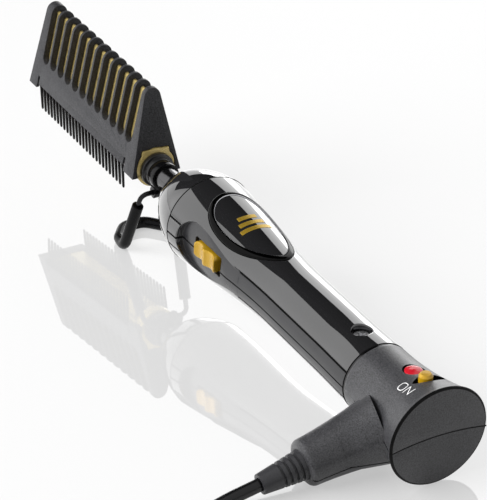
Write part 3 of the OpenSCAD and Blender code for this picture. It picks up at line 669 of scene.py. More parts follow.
@dataclass(frozen=True)
class BadgeForm:
    """Drop-shaped outline of the badge, seen from above."""

    rear: float = 101.0
    length: float = 46.0
    half: float = 12.0
    widest: float = 0.63
    front_powers: Pair = (2.6, 0.45)
    rear_powers: Pair = (1.9, 0.6)
    rear_inset: float = 1.6

    @property
    def middle(self) -> float:
        """Where the badge is widest."""
        return self.rear + self.length * self.widest

    def outline(self, inset: float = 0.0, count: int = 72) -> Points:
        """Return the outline, counter-clockwise, drawn in by inset.

        Args:
            inset: how far inside the badge's edge.
            count: corners on each side.

        Returns:
            Rows of x and y.
        """
        front = self.rear + self.length - inset - self.middle
        back = self.middle - self.rear - self.rear_inset * inset
        turn = np.linspace(0, np.pi, count)
        x = self.middle + np.where(turn < np.pi / 2, front, back) * np.cos(turn)
        widths = [np.clip(1 - np.clip(share, 0, 1) ** first, 0, 1) ** second
                  for share, (first, second) in (
                      ((x - self.middle) / front, self.front_powers),
                      ((self.middle - x) / back, self.rear_powers))]
        upper = np.column_stack((x, (self.half - inset) * np.where(x > self.middle, *widths)))
        return np.concatenate((upper, (upper * [1, -1])[-2:0:-1]))


@dataclass
class HandleShells:
    """The two glossy shells of the handle, with the side pad, trim lines and recesses.

    A flat plan of each shell, x along the handle and s round it, is filled with triangles
    that follow every edge, and then bent round the handle's form.
    """

    form: HandleForm = HandleForm()
    badge: BadgeForm = BadgeForm()
    girth: float = 13.0
    top_from: float = 0.2
    pad_front: Triple = (142.3, 0.5, 9.6)
    pad_rear_x: float = 112.0
    pad_rear_half: float = 5.05
    pad_floor_y: float = 14.8
    pad_curve: float = 30.0
    pad_step: float = 0.25
    pad_reach: float = 13.0
    pad_ease: float = 0.6
    pad_round: float = 0.1
    slot_at: Pair = (132.8, 1.5)
    slot_half: Pair = (9.6, 3.95)
    slot_corner: float = 1.2
    slot_floor_y: float = 12.9
    slot_step: float = 0.12
    badge_depth: float = 1.65
    badge_span: Pair = (98.0, 150.0)
    badge_step: float = 0.1
    screw_x: float = 50.0
    screw_r: float = 3.5
    screw_floor_z: float = 9.1
    screw_step: Pair = (0.1, 0.45)
    screw_boss: Pair = (3.0, 22.0)
    bore_step: Pair = (106.0, 6.0)
    line_top: Pair = (5.6, 6.3)
    line_low: Pair = (-4.5, -5.2)
    line_run: Pair = (100.0, 58.0)
    line_depth: float = 0.38
    line_half: float = 0.5
    line_fade: Pair = (0.2, 0.8)
    groove_dark: float = 0.8
    pad_clear: float = 0.3
    band_end: float = 118.0
    joint_half: float = 0.34
    lip: float = 0.2
    lip_half: float = 0.3
    spacing: float = 1.5
    lining_spacing: float = 4.0
    along_step: float = 1.2
    end_points: int = 60
    screw_points: int = 61
    # How far outside each edge the plan has lines.
    pad_lines: tuple[float, ...] = (-0.6, -0.25, -0.17, -0.1, -0.03, 0.03, 0.1, 0.17, 0.25, 0.5)
    slot_lines: tuple[float, ...] = (-0.3, -0.12, -0.05, 0.0, 0.05, 0.12, 0.3)
    badge_lines: tuple[float, ...] = (-0.3, -0.1, -0.05, 0.0, 0.05, 0.1, 0.3, 0.7)
    screw_lines: tuple[float, ...] = (-0.3, -0.1, -0.02, 0.06, 0.14, 0.22, 0.35, 0.7)
    trim_lines: tuple[float, ...] = (-0.5, -0.3, -0.2, -0.1, 0.0, 0.1, 0.2, 0.3, 0.5)
    shell_lines: tuple[float, ...] = (0.08, 0.16, 0.3, 0.6)
    pad_loop: Points = field(init=False)
    slot_loop: Points = field(init=False)
    badge_loop: Points = field(init=False)

    def __post_init__(self) -> None:
        """Work out the outlines of the pad, the slot and the badge."""
        cx, cz, r = self.pad_front
        turn = np.radians(np.arange(-90, 91, 4))
        front = np.column_stack((cx + r * np.cos(turn), cz + r * np.sin(turn)))
        side = np.arange(cx - 1, self.pad_rear_x, -1.0)
        share = smooth_step((side - self.pad_rear_x) / (cx - self.pad_rear_x))
        half = self.pad_rear_half + (r - self.pad_rear_half) * share
        top = np.column_stack((side, cz + half))
        low = np.column_stack((side, cz - half))[::-1]
        self.pad_loop = np.concatenate((front, top, low))
        (sx, sz), (hx, hz), r = self.slot_at, self.slot_half, self.slot_corner
        corners = []
        for ux, uz, first in ((1, -1, -90), (1, 1, 0), (-1, 1, 90), (-1, -1, 180)):
            a = np.radians(np.linspace(first, first + 90, 6))
            corners.append(np.column_stack((sx + ux * (hx - r) + r * np.cos(a),
                                            sz + uz * (hz - r) + r * np.sin(a))))
        self.slot_loop = np.concatenate(corners)
        self.badge_loop = self.badge.outline(-0.1)

    def line_z(self, ends: Pair, x: Points) -> Points:
        """Return the height of a trim line along the handle."""
        start, run = self.line_run
        return ends[0] + (ends[1] - ends[0]) * np.clip((x - start) / run, 0, 1)

    def line_gap(self, ends: Pair, x: Points, turn: Points) -> Points:
        """Return how far places lie from a trim line, on either side of the handle.

        Args:
            ends: the line's height at its rear and its front end.
            x: places along the handle.
            turn: their angles round it.

        Returns:
            Distances over the surface.
        """
        plain = self.form.radius(x)
        across = np.arcsin(self.line_z(ends, x) / plain)
        return plain * np.minimum(*(np.abs(np.angle(np.exp(1j * (turn - at))))
                                    for at in (across, np.pi - across)))

    def lip_drop(self, distance: Points) -> Points:
        """Return how far the surface drops at a distance from a shell's edge."""
        return self.lip * (1 - np.clip(distance / self.lip_half, 0, 1)) ** 2

    def surface(self, x: Points, s: Points, part_at: Pair) -> Points:
        """Bend places of the plan into the handle's outer surface.

        Args:
            x: places along the handle.
            s: places round it.
            part_at: the two s where the shells meet.

        Returns:
            Points of the handle frame.
        """
        turn, plain = s / self.girth, self.form.radius(x)
        r = plain - self.lip_drop(np.minimum(x - self.form.back, self.form.seam - x))
        z0 = plain * np.sin(turn)
        near_side, top = np.cos(turn) > 0, np.sin(turn) > self.top_from
        by_pad = near_side & (x > self.pad_rear_x - 2) & (np.abs(z0) < self.pad_reach)
        pad = distance_near(by_pad, x, z0, self.pad_loop)
        fade = smooth_step((pad - self.line_fade[0]) / self.line_fade[1])
        for ends in (self.line_top, self.line_low):
            share = np.clip(self.line_gap(ends, x, turn) / self.line_half, 0, 1)
            r = r - self.line_depth * np.cos(np.pi / 2 * share) ** 2 * fade
        y, z = r * np.cos(turn), r * np.sin(turn)
        curve = self.pad_curve ** 2 - (z - self.pad_front[1]) ** 2
        over = y - (np.sqrt(np.maximum(curve, 0)) - (self.pad_curve - self.pad_floor_y))
        over = (0.5 * (over + np.sqrt(over * over + self.pad_round ** 2))
                * smooth_step((over + self.pad_ease) / self.pad_ease))
        y = np.where(near_side, y - over * within(pad, self.pad_step), y)
        slot = within(distance_near(by_pad, x, z, self.slot_loop), self.slot_step)
        y = np.where(near_side, y + (self.slot_floor_y - y) * slot, y)
        by_badge = top & (x > self.badge_span[0]) & (x < self.badge_span[1])
        badge = distance_near(by_badge, x, y, self.badge_loop)
        z = z - self.badge_depth * within(badge, self.badge_step)
        hole = np.where(top, np.hypot(x - self.screw_x, y) - self.screw_r, UNREACHED)
        hole = 1 - smooth_step((hole + self.screw_step[0]) / self.screw_step[1])
        z = z + (self.screw_floor_z - z) * hole
        drop = self.lip_drop(np.minimum(s - part_at[0], part_at[1] - s))
        return np.column_stack((x, y - drop * np.cos(turn), z - drop * np.sin(turn)))

    def inner(self, x: Points, s: Points) -> Points:
        """Bend places of the plan into the shell's inner surface.

        Args:
            x: places along the handle.
            s: places round it.

        Returns:
            Points of the handle frame.
        """
        turn = s / self.girth
        (step_at, step_run), (boss, spread) = self.bore_step, self.screw_boss
        widened = (self.form.front_bore - self.form.bore) * smooth_step((x - step_at) / step_run)
        r = self.form.bore + widened
        away = (x - self.screw_x) ** 2 + (r * (turn - np.pi / 2)) ** 2
        r = r - boss * np.exp(-away / spread)
        return np.column_stack((x, r * np.cos(turn), r * np.sin(turn)))

    def plan_lines(self) -> list[Points]:
        """Return the lines of the plan that the triangles follow.

        Returns:
            Places in the plan, line by line.
        """
        lines = []
        for loop, bend, steps in ((self.pad_loop, np.arcsin, self.pad_lines),
                                  (self.slot_loop, np.arcsin, self.slot_lines),
                                  (self.badge_loop, np.arccos, self.badge_lines)):
            for by in steps:
                x, across = grown(loop, by).T
                share = np.clip(across / self.form.radius(x), -0.99, 0.99)
                path = np.column_stack((x, bend(share) * self.girth))
                lines.append(np.concatenate((path, path[:1])))
        turn = np.linspace(0, 2 * np.pi, self.screw_points)
        for by in self.screw_lines:
            reach = self.screw_r + by
            x, y = self.screw_x + reach * np.cos(turn), reach * np.sin(turn)
            lines.append(np.column_stack((x, np.arccos(y / self.form.radius(x)) * self.girth)))
        x = np.arange(self.form.back, self.form.seam + 0.1, self.along_step)
        for ends in (self.line_top, self.line_low):
            across = np.arcsin(self.line_z(ends, x) / self.form.radius(x)) * self.girth
            far = np.pi * self.girth - across
            if ends[0] <= 0:
                far = far - 2 * np.pi * self.girth
            for by in self.trim_lines:
                step = by * self.girth / self.form.radius(x)
                lines += [np.column_stack((x, across + step)), np.column_stack((x, far + step))]
        return lines

    def plan(self, low: float, high: float) -> "Plan":
        """Return a shell's plan between two s, with every line it follows.

        Args:
            low: s of its first edge.
            high: s of its last edge.

        Returns:
            The plan, not yet filled.
        """
        back, seam = self.form.back, self.form.seam
        plan = Plan((back, seam), (low, high), self.spacing)
        for line in self.plan_lines():
            plan.add(line)
        along = np.arange(back, seam + 0.1, self.along_step)
        across = np.linspace(low, high, self.end_points)
        for by in self.shell_lines:
            for s in (low + by, high - by):
                plan.add(np.column_stack((along, np.full(len(along), s))))
            for x in (back + by, seam - by):
                plan.add(np.column_stack((np.full(self.end_points, x), across)))
        return plan

    def shell(self, name: str, node: str, low: float, high: float) -> None:
        """Build one shell.

        Args:
            name: the piece's name.
            node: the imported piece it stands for.
            low: s of its first edge.
            high: s of its last edge.
        """
        part_at = (low, high)
        flat, faces = self.plan(low, high).fill()

        def bent(dx: float = 0.0, ds: float = 0.0) -> Points:
            """Bend the plan's places, moved by dx and ds."""
            return self.surface(flat[:, 0] + dx, flat[:, 1] + ds, part_at)

        normals = np.cross(bent(0, NUDGE) - bent(0, -NUDGE), bent(NUDGE) - bent(-NUDGE))
        normals /= np.linalg.norm(normals, axis=1)[:, None]
        rim = Plan.rim(faces)
        coarse = Plan((self.form.back, self.form.seam), part_at, self.lining_spacing)
        coarse.add(np.concatenate((flat[rim], flat[rim[:1]])))
        flat_in, faces_in = coarse.fill(edge=False)
        count = len(flat)
        match = [count + int(np.argmin(np.hypot(*(flat_in - flat[i]).T))) for i in rim]
        walls = []
        for i, j, a, b in zip(rim, np.roll(rim, -1).tolist(), match, np.roll(match, -1).tolist()):
            walls += [(i, b, j), (i, a, b)]
        skin = [tuple(f[::-1]) for f in faces]
        lining = [tuple(c + count for c in f) for f in faces_in]
        points = np.concatenate((bent(), self.inner(*flat_in.T)))
        shell = mesh_object(name, STANCE.place(points), skin + lining + walls, PIANO_BLACK)
        shade_by(shell, normals, len(skin))
        Paintbox.dress(shell, PIANO_BLACK, TRIM_SATIN, LINE_BLACK)
        middle = np.array([flat[list(f)].mean(axis=0) for f in faces])
        for polygon, index in zip(shell.data.polygons, self.trims(middle, part_at)):
            polygon.material_index = int(index)
        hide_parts(node)

    def trims(self, flat: Points, part_at: Pair) -> Points:
        """Tell the finish of places: 0 for gloss, 1 for trim, 2 for the dark of grooves.

        Args:
            flat: rows of x and s.
            part_at: the two s where the shells meet.

        Returns:
            The number of each place's finish.
        """
        x, s = flat.T
        _, y, z = self.surface(x, s, part_at).T
        pad = loop_distance(np.column_stack((x, z)), self.pad_loop)
        band = (z < self.line_z(self.line_top, x)) & (x < self.band_end)
        band &= z > self.line_z(self.line_low, x)
        trim = (y > 0) & ((pad < 0) | band) | ((y < 0) & band)
        line = np.minimum(s - part_at[0], part_at[1] - s) < self.joint_half
        line |= (x - self.form.back < self.joint_half) | (self.form.seam - x < self.joint_half)
        for ends in (self.line_top, self.line_low):
            groove = self.line_gap(ends, x, s / self.girth) < self.line_half * self.groove_dark
            line |= groove & ((pad > self.pad_clear) | (y < 0))
        return np.where(line, 2, trim)

    def build(self) -> None:
        """Build both shells."""
        half_turn = math.pi * self.girth
        self.shell("handle_top", "top_shell", 0.0, half_turn)
        self.shell("handle_bottom", "bottom_shell", -half_turn, 0.0)


@dataclass
class Plan:
    """A flat plan that is filled with triangles along given lines."""

    STILL = 1e-12
    SLACK = 1e-9
    ON_EDGE = 1e-6
    MERGE = 1e-5
    CHUNK = 400
    SQUEEZE = 0.9
    CLEARANCE = 0.45

    x_range: Pair
    s_range: Pair
    spacing: float
    lines: list[Points] = field(default_factory=list)

    def add(self, line: Points) -> None:
        """Add a line, cut to the plan's borders.

        Args:
            line: rows of x and s.
        """
        low, high = np.array([self.x_range, self.s_range]).T
        run: list[Points] = []
        for a, b in zip(line[:-1], line[1:]):
            step, t0, t1 = b - a, 0.0, 1.0
            for k in (0, 1):
                if abs(step[k]) < self.STILL:
                    if not low[k] - self.SLACK <= a[k] <= high[k] + self.SLACK:
                        t0, t1 = 1.0, 0.0
                    continue
                ends = sorted(((low[k] - a[k]) / step[k], (high[k] - a[k]) / step[k]))
                t0, t1 = max(t0, ends[0]), min(t1, ends[1])
            if t0 < t1:
                run = run or [a + t0 * step]
                run.append(a + t1 * step)
            if t0 >= t1 or t1 < 1.0:
                self.keep(run)
                run = []
        self.keep(run)

    def keep(self, run: list[Points]) -> None:
        """Keep a run of places as a line if it has a length."""
        if len(run) > 1:
            self.lines.append(np.array(run))

    def border(self) -> Points:
        """Return places round the plan's border, closed.

        Returns:
            Rows of x and s.
        """
        (x0, x1), (s0, s1) = self.x_range, self.s_range
        x = np.linspace(x0, x1, int((x1 - x0) / self.spacing) + 1)
        s = np.linspace(s0, s1, int((s1 - s0) / self.spacing) + 1)
        return np.column_stack((
            np.concatenate((x[:-1], np.full(len(s) - 1, x1), x[:0:-1], np.full(len(s), x0))),
            np.concatenate((np.full(len(x) - 1, s0), s[:-1], np.full(len(x) - 1, s1), s[::-1]))))

    def fill(self, edge: bool = True) -> tuple[Points, list[Face]]:
        """Fill the plan with triangles.

        Args:
            edge: False if the given lines already run round the border.

        Returns:
            Places in the plan, and triangles of them.
        """
        lines = self.lines + ([self.border()] if edge else [])
        places = np.concatenate(lines)
        (x0, x1), (s0, s1) = self.x_range, self.s_range
        gx, gs = np.meshgrid(np.arange(x0 + self.spacing / 2, x1, self.spacing),
                             np.arange(s0 + self.spacing / 2, s1, self.spacing * self.SQUEEZE))
        grid = np.column_stack((gx.ravel(), gs.ravel()))
        clear = np.full(len(grid), np.inf)
        for start in range(0, len(places), self.CHUNK):
            gap = grid[:, None, :] - places[None, start:start + self.CHUNK, :]
            clear = np.minimum(clear, np.hypot(gap[..., 0], gap[..., 1]).min(axis=1))
        grid = grid[clear > self.CLEARANCE * self.spacing]
        edges, first = [], 0
        for line in lines:
            edges += [(i, i + 1) for i in range(first, first + len(line) - 1)]
            first += len(line)
        flat = [Vector(p) for p in np.concatenate((places, grid))]
        made, _, faces, *_ = delaunay_2d_cdt(flat, edges, [], 0, self.MERGE)
        spots = np.array([tuple(p) for p in made])
        return spots, [tuple(f) for f in faces if not self.on_border(spots[list(f)])]

    def on_border(self, corners: Points) -> bool:
        """Tell whether a triangle is a sliver along one side of the plan.

        Args:
            corners: the triangle's places in the plan.

        Returns:
            True for a sliver.
        """
        ends = (*self.x_range, *self.s_range)
        return any(bool(np.all(np.abs(corners[:, k // 2] - end) < self.ON_EDGE))
                   for k, end in enumerate(ends))

    @staticmethod
    def rim(faces: list[Face]) -> list[int]:
        """Return the corners round the filled plan, in order.

        Args:
            faces: the plan's triangles.

        Returns:
            Numbers of the corners.
        """
        pairs = {(f[k], f[(k + 1) % len(f)]) for f in faces for k in range(len(f))}
        ahead = {a: b for a, b in pairs if (b, a) not in pairs}
        start = next(iter(ahead))
        loop, spot = [start], ahead[start]
        while spot != start:
            loop.append(spot)
            spot = ahead[spot]
        return loop


def shade_by(obj: Object, normals: Points, faces: int) -> None:
    """Shade the first faces of a piece by given normals and the rest flat.

    Args:
        obj: the piece.
        normals: one row for each of its first vertices, in the handle frame.
        faces: how many faces take them.
    """
    turned = STANCE.turned(normals)
    rows = []
    for polygon in obj.data.polygons:
        if polygon.index < faces:
            rows += [tuple(turned[v]) for v in polygon.vertices]
        else:
            rows += [tuple(polygon.normal)] * len(polygon.vertices)
    obj.data.normals_split_custom_set(rows)


# ---------------------------------------------------------------- cord
@dataclass
class MainsCord:
    """Mains cord: out of the strain relief, over the floor into a coil, and on to its plug.

    Sizes are millimetres in the shared frame.
    """

    diameter: float = 4.7
    exit_at: Triple = (-123.33, 43.3, 5.26)
    exit_way: Triple = (0.0146, 0.983, -0.182)
    exit_knots: Triple = (0.0, 4.0, 8.0)
    lead: tuple[Triple, ...] = (
        (-123.3, 55.2, 3.16), (-123.9, 59.2, 2.74), (-124.8, 63, 2.5), (-126.2, 66.8, 2.42),
        (-128.7, 72.2, 2.42), (-132.2, 78.3, 2.42), (-136.5, 85, 2.42), (-140.2, 91.1, 2.42))
    coil_at: Pair = (-173.0, 80.0)
    joins_at: float = 30.0
    turn_radii: Triple = (33.6, 28.8, 24.0)
    layers: Triple = (2.42, 7.2, 12.0)
    turns: float = 8.4167
    knots_a_turn: int = 28
    first_change: float = 0.9
    change_span: float = 0.25
    cells: tuple = ((0, 0), (1, 0), (2, 0), (2, 1), (2, 2), (1, 2), (1, 1), (0, 1), (0, 2))
    tail: tuple[Triple, ...] = (
        (-206.6, 80, 12.0), (-206.5, 74, 12.0), (-206.0, 68, 11.6), (-204.8, 62, 10.6),
        (-203.1, 56, 9.1), (-201.4, 50, 7.7), (-200.1, 44, 6.8), (-199.5, 36, 6.4))
    sides: int = 12

    def coil_points(self) -> list[Triple]:
        """Return the coil's centre line, nine turns' places filled one after another.

        Returns:
            Points of the shared frame, in millimetres.
        """
        points = []
        for step in range(int(self.turns * self.knots_a_turn)):
            u = step / self.knots_a_turn
            radius, height = self.turn_radii[0], self.layers[0]
            for k, (before, after) in enumerate(zip(self.cells, self.cells[1:])):
                share = (u - (self.first_change + k)) / self.change_span + 0.5
                share = float(smooth_step(share))
                radius += share * (self.turn_radii[after[0]] - self.turn_radii[before[0]])
                height += share * (self.layers[after[1]] - self.layers[before[1]])
            angle = 2 * math.pi * u + math.radians(self.joins_at)
            points.append((self.coil_at[0] + radius * math.cos(angle),
                           self.coil_at[1] + radius * math.sin(angle), height))
        return points

    def route(self) -> Points:
        """Return the cord's whole centre line in metres, curved through its knots.

        Returns:
            Rows of x, y, z.
        """
        start, way = np.array(self.exit_at), np.array(self.exit_way)
        knots = np.array([*(start + reach * way for reach in self.exit_knots), *self.lead,
                          *self.coil_points(), *self.tail], float)
        gaps = np.linalg.norm(np.diff(knots, axis=0), axis=1)
        along = np.concatenate(([0.0], np.cumsum(gaps)))
        slopes = np.gradient(knots, along, axis=0)
        fine = np.unique(np.concatenate((along, (along[1:] + along[:-1]) / 2)))
        spot = np.clip(np.searchsorted(along, fine, side="right") - 1, 0, len(along) - 2)
        width = (along[spot + 1] - along[spot])[:, None]
        t = (fine[:, None] - along[spot][:, None]) / width
        return ((2 * t ** 3 - 3 * t ** 2 + 1) * knots[spot]
                + (t ** 3 - 2 * t ** 2 + t) * width * slopes[spot]
                + (3 * t ** 2 - 2 * t ** 3) * knots[spot + 1]
                + (t ** 3 - t ** 2) * width * slopes[spot + 1]) / MM_PER_M

    def build(self) -> None:
        path = self.route()
        points, faces = tube(path, self.diameter / 2 / MM_PER_M, self.sides)
        cord = mesh_object("mains_cord", points, faces, CORD_BLACK)
        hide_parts("cord_lead", "cord_coil", "cord_tail")


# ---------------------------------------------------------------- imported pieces, finished off
@dataclass(frozen=True)
class Turned:
    """A surface turned about an axis, in millimetres of the handle frame.

    A point lies on it within near of its radius, and a face fits it within agree degrees.
    """

    radius: Callable[[Points], Points]
    span: Pair
    origin: Triple = (0.0, 0.0, 0.0)
    axis: Triple = (1.0, 0.0, 0.0)
    near: float = 0.15
    agree: float = 14.0

    def along(self, points: Points) -> Points:
        """Return how far along the axis points lie."""
        return (points - np.array(self.origin)) @ self.way

    @property
    def way(self) -> Points:
        """The axis as a unit vector."""
        return np.array(self.axis) / np.linalg.norm(self.axis)

    def normals(self, points: Points) -> tuple[Points, Points]:
        """Find the points that lie on the surface, and its normals.

        Args:
            points: rows of x, y, z.

        Returns:
            True for each point on the surface, and outward normals at all points.
        """
        along = self.along(points)
        out = points - np.array(self.origin) - along[:, None] * self.way
        reach = np.linalg.norm(out, axis=1)
        slope = (self.radius(along + NUDGE) - self.radius(along - NUDGE)) / (2 * NUDGE)
        normals = out / np.maximum(reach, 1e-9)[:, None] - slope[:, None] * self.way
        normals /= np.linalg.norm(normals, axis=1)[:, None]
        held = np.abs(reach - self.radius(along)) < self.near
        return held & (along > self.span[0]) & (along < self.span[1]), normals


@dataclass(frozen=True)
class Blending(Turned):
    """A turned surface whose shading runs over into another one's towards its end."""

    into: Turned | None = None
    over: float = 9.0

    def normals(self, points: Points) -> tuple[Points, Points]:
        """Find the points that lie on the surface, and the blended normals.

        Args:
            points: rows of x, y, z.

        Returns:
            True for each point on the surface, and outward normals at all points.
        """
        held, own = super().normals(points)
        _, other = self.into.normals(points)
        share = np.clip((self.along(points) - self.span[1]) / self.over + 1, 0, 1)[:, None]
        mixed = own * (1 - share) + other * share
        return held, mixed / np.linalg.norm(mixed, axis=1)[:, None]


@dataclass(frozen=True)
class TailForm:
    """Outer forms of the tail: flare, cord boss, its root, and the strain relief."""

    length: float = 38.2
    rim: float = 19.0
    neck: float = 13.5
    flare_power: float = 2.1
    droop: float = math.radians(10.5)
    boss_at: Triple = (21.9, 0.0, -5.4)
    boss_r: float = 8.4
    boss_swell: float = 3.1
    boss_run: Pair = (12.0, 28.0)
    boss_power: float = 1.6
    end_from: float = 38.0
    end_round: float = 2.0
    relief_run: Pair = (40.0, 16.0)
    relief_r: Pair = (5.5, 3.7)
    root_from: Triple = (17.2, 11.0, -4.0)
    root_to: Triple = (21.5, 24.0, -9.2)
    root_r: Pair = (12.3, 9.4)
    arch: float = 91.0
    arch_z: float = -90.5
    joint_below: float = 2.4
    joint_half: float = 0.24
    # Painted dark reflection on the rim's rounded edge: how far from the end face, and how deep
    # in from the rim.
    rim_painted_reflection: Pair = (0.75, 0.7)
    boss_side: Triple = (10.0, 35.0, 15.0)
    # Painted shade: walls of the lamp's recess and the knob's slot above this height are painted
    # black.
    top_z: float = 9.5
    lamp_at: Pair = (19.6, -1.5)
    lamp_r: float = 4.1
    slot_at: tuple[Pair, ...] = ((18.6, -2.5), (4.4, -2.5))
    slot_r: float = 10.05
    face_at: float = 0.02
    root_clear: float = 0.1
    flare_from: float = 2.3
    boss_from: float = 10.0
    end_to: float = 39.8
    boss_fit: Pair = (0.25, 34.0)
    root_fit: Pair = (0.25, 38.0)
    relief_near: float = 0.05

    def flare(self, x: Points) -> Points:
        """Return the radius of the flare."""
        ahead = np.clip(1 - x / self.length, 0, 1)
        return self.neck + (self.rim - self.neck) * ahead ** self.flare_power

    def boss(self, s: Points) -> Points:
        """Return the radius of the boss along its axis.

        Args:
            s: places along its axis.

        Returns:
            The radii.
        """
        start, run = self.boss_run
        share = np.clip(1 - (s - start) / run, 0, 2)
        return self.boss_r + self.boss_swell * share ** self.boss_power

    def boss_end(self, s: Points) -> Points:
        """Return the radius of the boss's rounded end.

        Args:
            s: places along the boss's axis.

        Returns:
            The radii.
        """
        full = self.end_round ** 2
        return self.boss_r - self.end_round + np.sqrt(
            np.clip(full - (s - self.end_from) ** 2, 0.01, full))

    def relief(self, s: Points) -> Points:
        """Return the radius of the strain relief's taper."""
        (first, last), (start, run) = self.relief_r, self.relief_run
        return first - (first - last) * (s - start) / run

    def dark(self, points: Points) -> Points:
        """Tell which places are painted black: dark joints, a painted dark reflection on the
        rim's edge, and painted shade in the lamp's and knob's holes.

        Args:
            points: rows of x, y, z.

        Returns:
            True for each place painted black.
        """
        x, y, z = points.T
        reach = np.hypot(y, z)
        below = -(y * math.sin(self.droop) + (z - self.boss_at[2]) * math.cos(self.droop))
        start, end, side = self.boss_side
        on_boss = (x > start) & (x < end) & (y > side)
        joint = np.where(on_boss, np.abs(below - self.joint_below),
                         np.abs(np.hypot(y, z - self.arch_z) - self.arch))
        on_root = (x <= start) & (y > side) & (reach > self.flare(x) + self.root_clear)
        # Painted dark reflection: the faces of the rim's rounded edge are painted black.
        rim = (x > self.face_at) & (x < self.rim_painted_reflection[0]) & (reach > self.rim - self.rim_painted_reflection[1])
        # Painted shade on the walls of the lamp's recess and of the knob's slot.
        holes = ((self.lamp_at, self.lamp_r), *((at, self.slot_r) for at in self.slot_at))
        lamp, *slot = ((z > self.top_z) & (np.hypot(x - at[0], y - at[1]) < radius)
                       for at, radius in holes)
        return ((joint < self.joint_half) & ~on_root) | rim | lamp | np.logical_and(*slot)

    def surfaces(self) -> tuple[Turned, ...]:
        """Return the forms: flare, boss, the boss's end, its root, and the strain relief.

        Returns:
            The turned forms, in that order.
        """
        way = (0.0, math.cos(self.droop), -math.sin(self.droop))
        root = np.array(self.root_to) - np.array(self.root_from)
        run = float(np.linalg.norm(root))
        first, last = self.root_r
        relief = (self.relief_run[0], sum(self.relief_run))
        boss = Turned(self.boss, (self.boss_from, self.end_from), self.boss_at, way,
                      *self.boss_fit)
        return (
            Turned(self.flare, (self.flare_from, self.length - 0.05)),
            boss,
            Turned(self.boss_end, (self.end_from, self.end_to), self.boss_at, way),
            Blending(lambda s: first + (last - first) * s / run, (0.0, run + 0.2),
                     self.root_from, tuple(root), *self.root_fit, into=boss),
            Turned(self.relief, relief, self.boss_at, way, self.relief_near),
        )


def nose_radius(x: Points) -> Points:
    """Return the radius of the domed nose along the handle.

    Args:
        x: places along the axis.

    Returns:
        The radii.
    """
    handle, length, powers = HandleForm(), 27, (1.5, 0.46)
    share = 1 - np.clip((x - handle.seam) / length, 0, 1) ** powers[0]
    return handle.radius(handle.seam) * np.clip(share, 0, 1) ** powers[1]


@dataclass(frozen=True)
class Refined:
    """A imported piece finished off: clean faces, rounded edges and smooth shading."""

    MERGE = 3e-6
    LEVEL = math.radians(0.5)

    node: str
    finish: Finish
    body: Body = Body.COMB
    rounding: float = 0.25
    steps: int = 2
    crease: float = 30.0
    forms: tuple[Turned, ...] = ()
    second: Finish | None = None
    picks: Callable[[Points], Points] | None = None

    def cleaned(self) -> Mesh:
        """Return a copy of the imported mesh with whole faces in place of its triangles.

        Returns:
            The new mesh, in the shared frame.
        """
        source = frame["nodes"][self.node]
        shape = bmesh.new()
        shape.from_mesh(source.data)
        bmesh.ops.transform(shape, matrix=source.matrix_world, verts=shape.verts)
        bmesh.ops.remove_doubles(shape, verts=shape.verts, dist=self.MERGE)
        bmesh.ops.dissolve_limit(shape, angle_limit=self.LEVEL, verts=shape.verts,
                                 use_dissolve_boundaries=False, edges=shape.edges)
        bmesh.ops.recalc_face_normals(shape, faces=shape.faces)
        mesh = bpy.data.meshes.new(self.node + "_form")
        shape.to_mesh(mesh)
        shape.free()
        mesh.materials.clear()
        return mesh

    def rounded(self, obj: Object) -> None:
        """Round the sharp edges of the piece.

        Args:
            obj: the piece's object.
        """
        bevel = obj.modifiers.new("rounding", "BEVEL")
        bevel.width, bevel.segments = self.rounding / MM_PER_M, self.steps
        bevel.limit_method, bevel.angle_limit = "ANGLE", math.radians(self.crease)
        bevel.miter_outer = "MITER_ARC"
        applied(obj, bevel)

    def shaded(self, mesh: Mesh) -> None:
        """Shade the piece smoothly, and by its true forms where it has any.

        Args:
            mesh: the piece's mesh.
        """
        mesh.shade_smooth()
        mesh.set_sharp_from_angle(angle=math.radians(self.crease))
        if not self.forms:
            return
        spots = STANCE.back(np.array([v.co for v in mesh.vertices]) * MM_PER_M)
        loops = np.array([loop.vertex_index for loop in mesh.loops])
        rows = np.array([n.vector for n in mesh.corner_normals])
        flat = np.zeros((len(loops), 3))
        for polygon in mesh.polygons:
            flat[polygon.loop_start:polygon.loop_start + polygon.loop_total] = polygon.normal
        total = np.zeros_like(rows)
        for form in self.forms:
            held, normals = form.normals(spots)
            normals = STANCE.turned(normals)[loops]
            fits = (normals * flat).sum(axis=1) > math.cos(math.radians(form.agree))
            fits &= held[loops]
            total[fits] += normals[fits]
        sizes = np.linalg.norm(total, axis=1)
        rows[sizes > 0] = total[sizes > 0] / sizes[sizes > 0, None]
        mesh.normals_split_custom_set([tuple(r) for r in rows])

    def build(self) -> None:
        """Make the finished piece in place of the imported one."""
        obj = link_object(self.node + "_finished", self.cleaned())
        if self.rounding:
            self.rounded(obj)
        self.shaded(obj.data)
        Paintbox.dress(obj, self.finish)
        if self.second:
            obj.data.materials.append(Paintbox.material(self.second))
            middle = STANCE.back(np.array([p.center for p in obj.data.polygons]) * MM_PER_M)
            for polygon, picked in zip(obj.data.polygons, self.picks(middle)):
                polygon.material_index = int(picked)
        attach(obj, self.body.value)
        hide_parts(self.node)


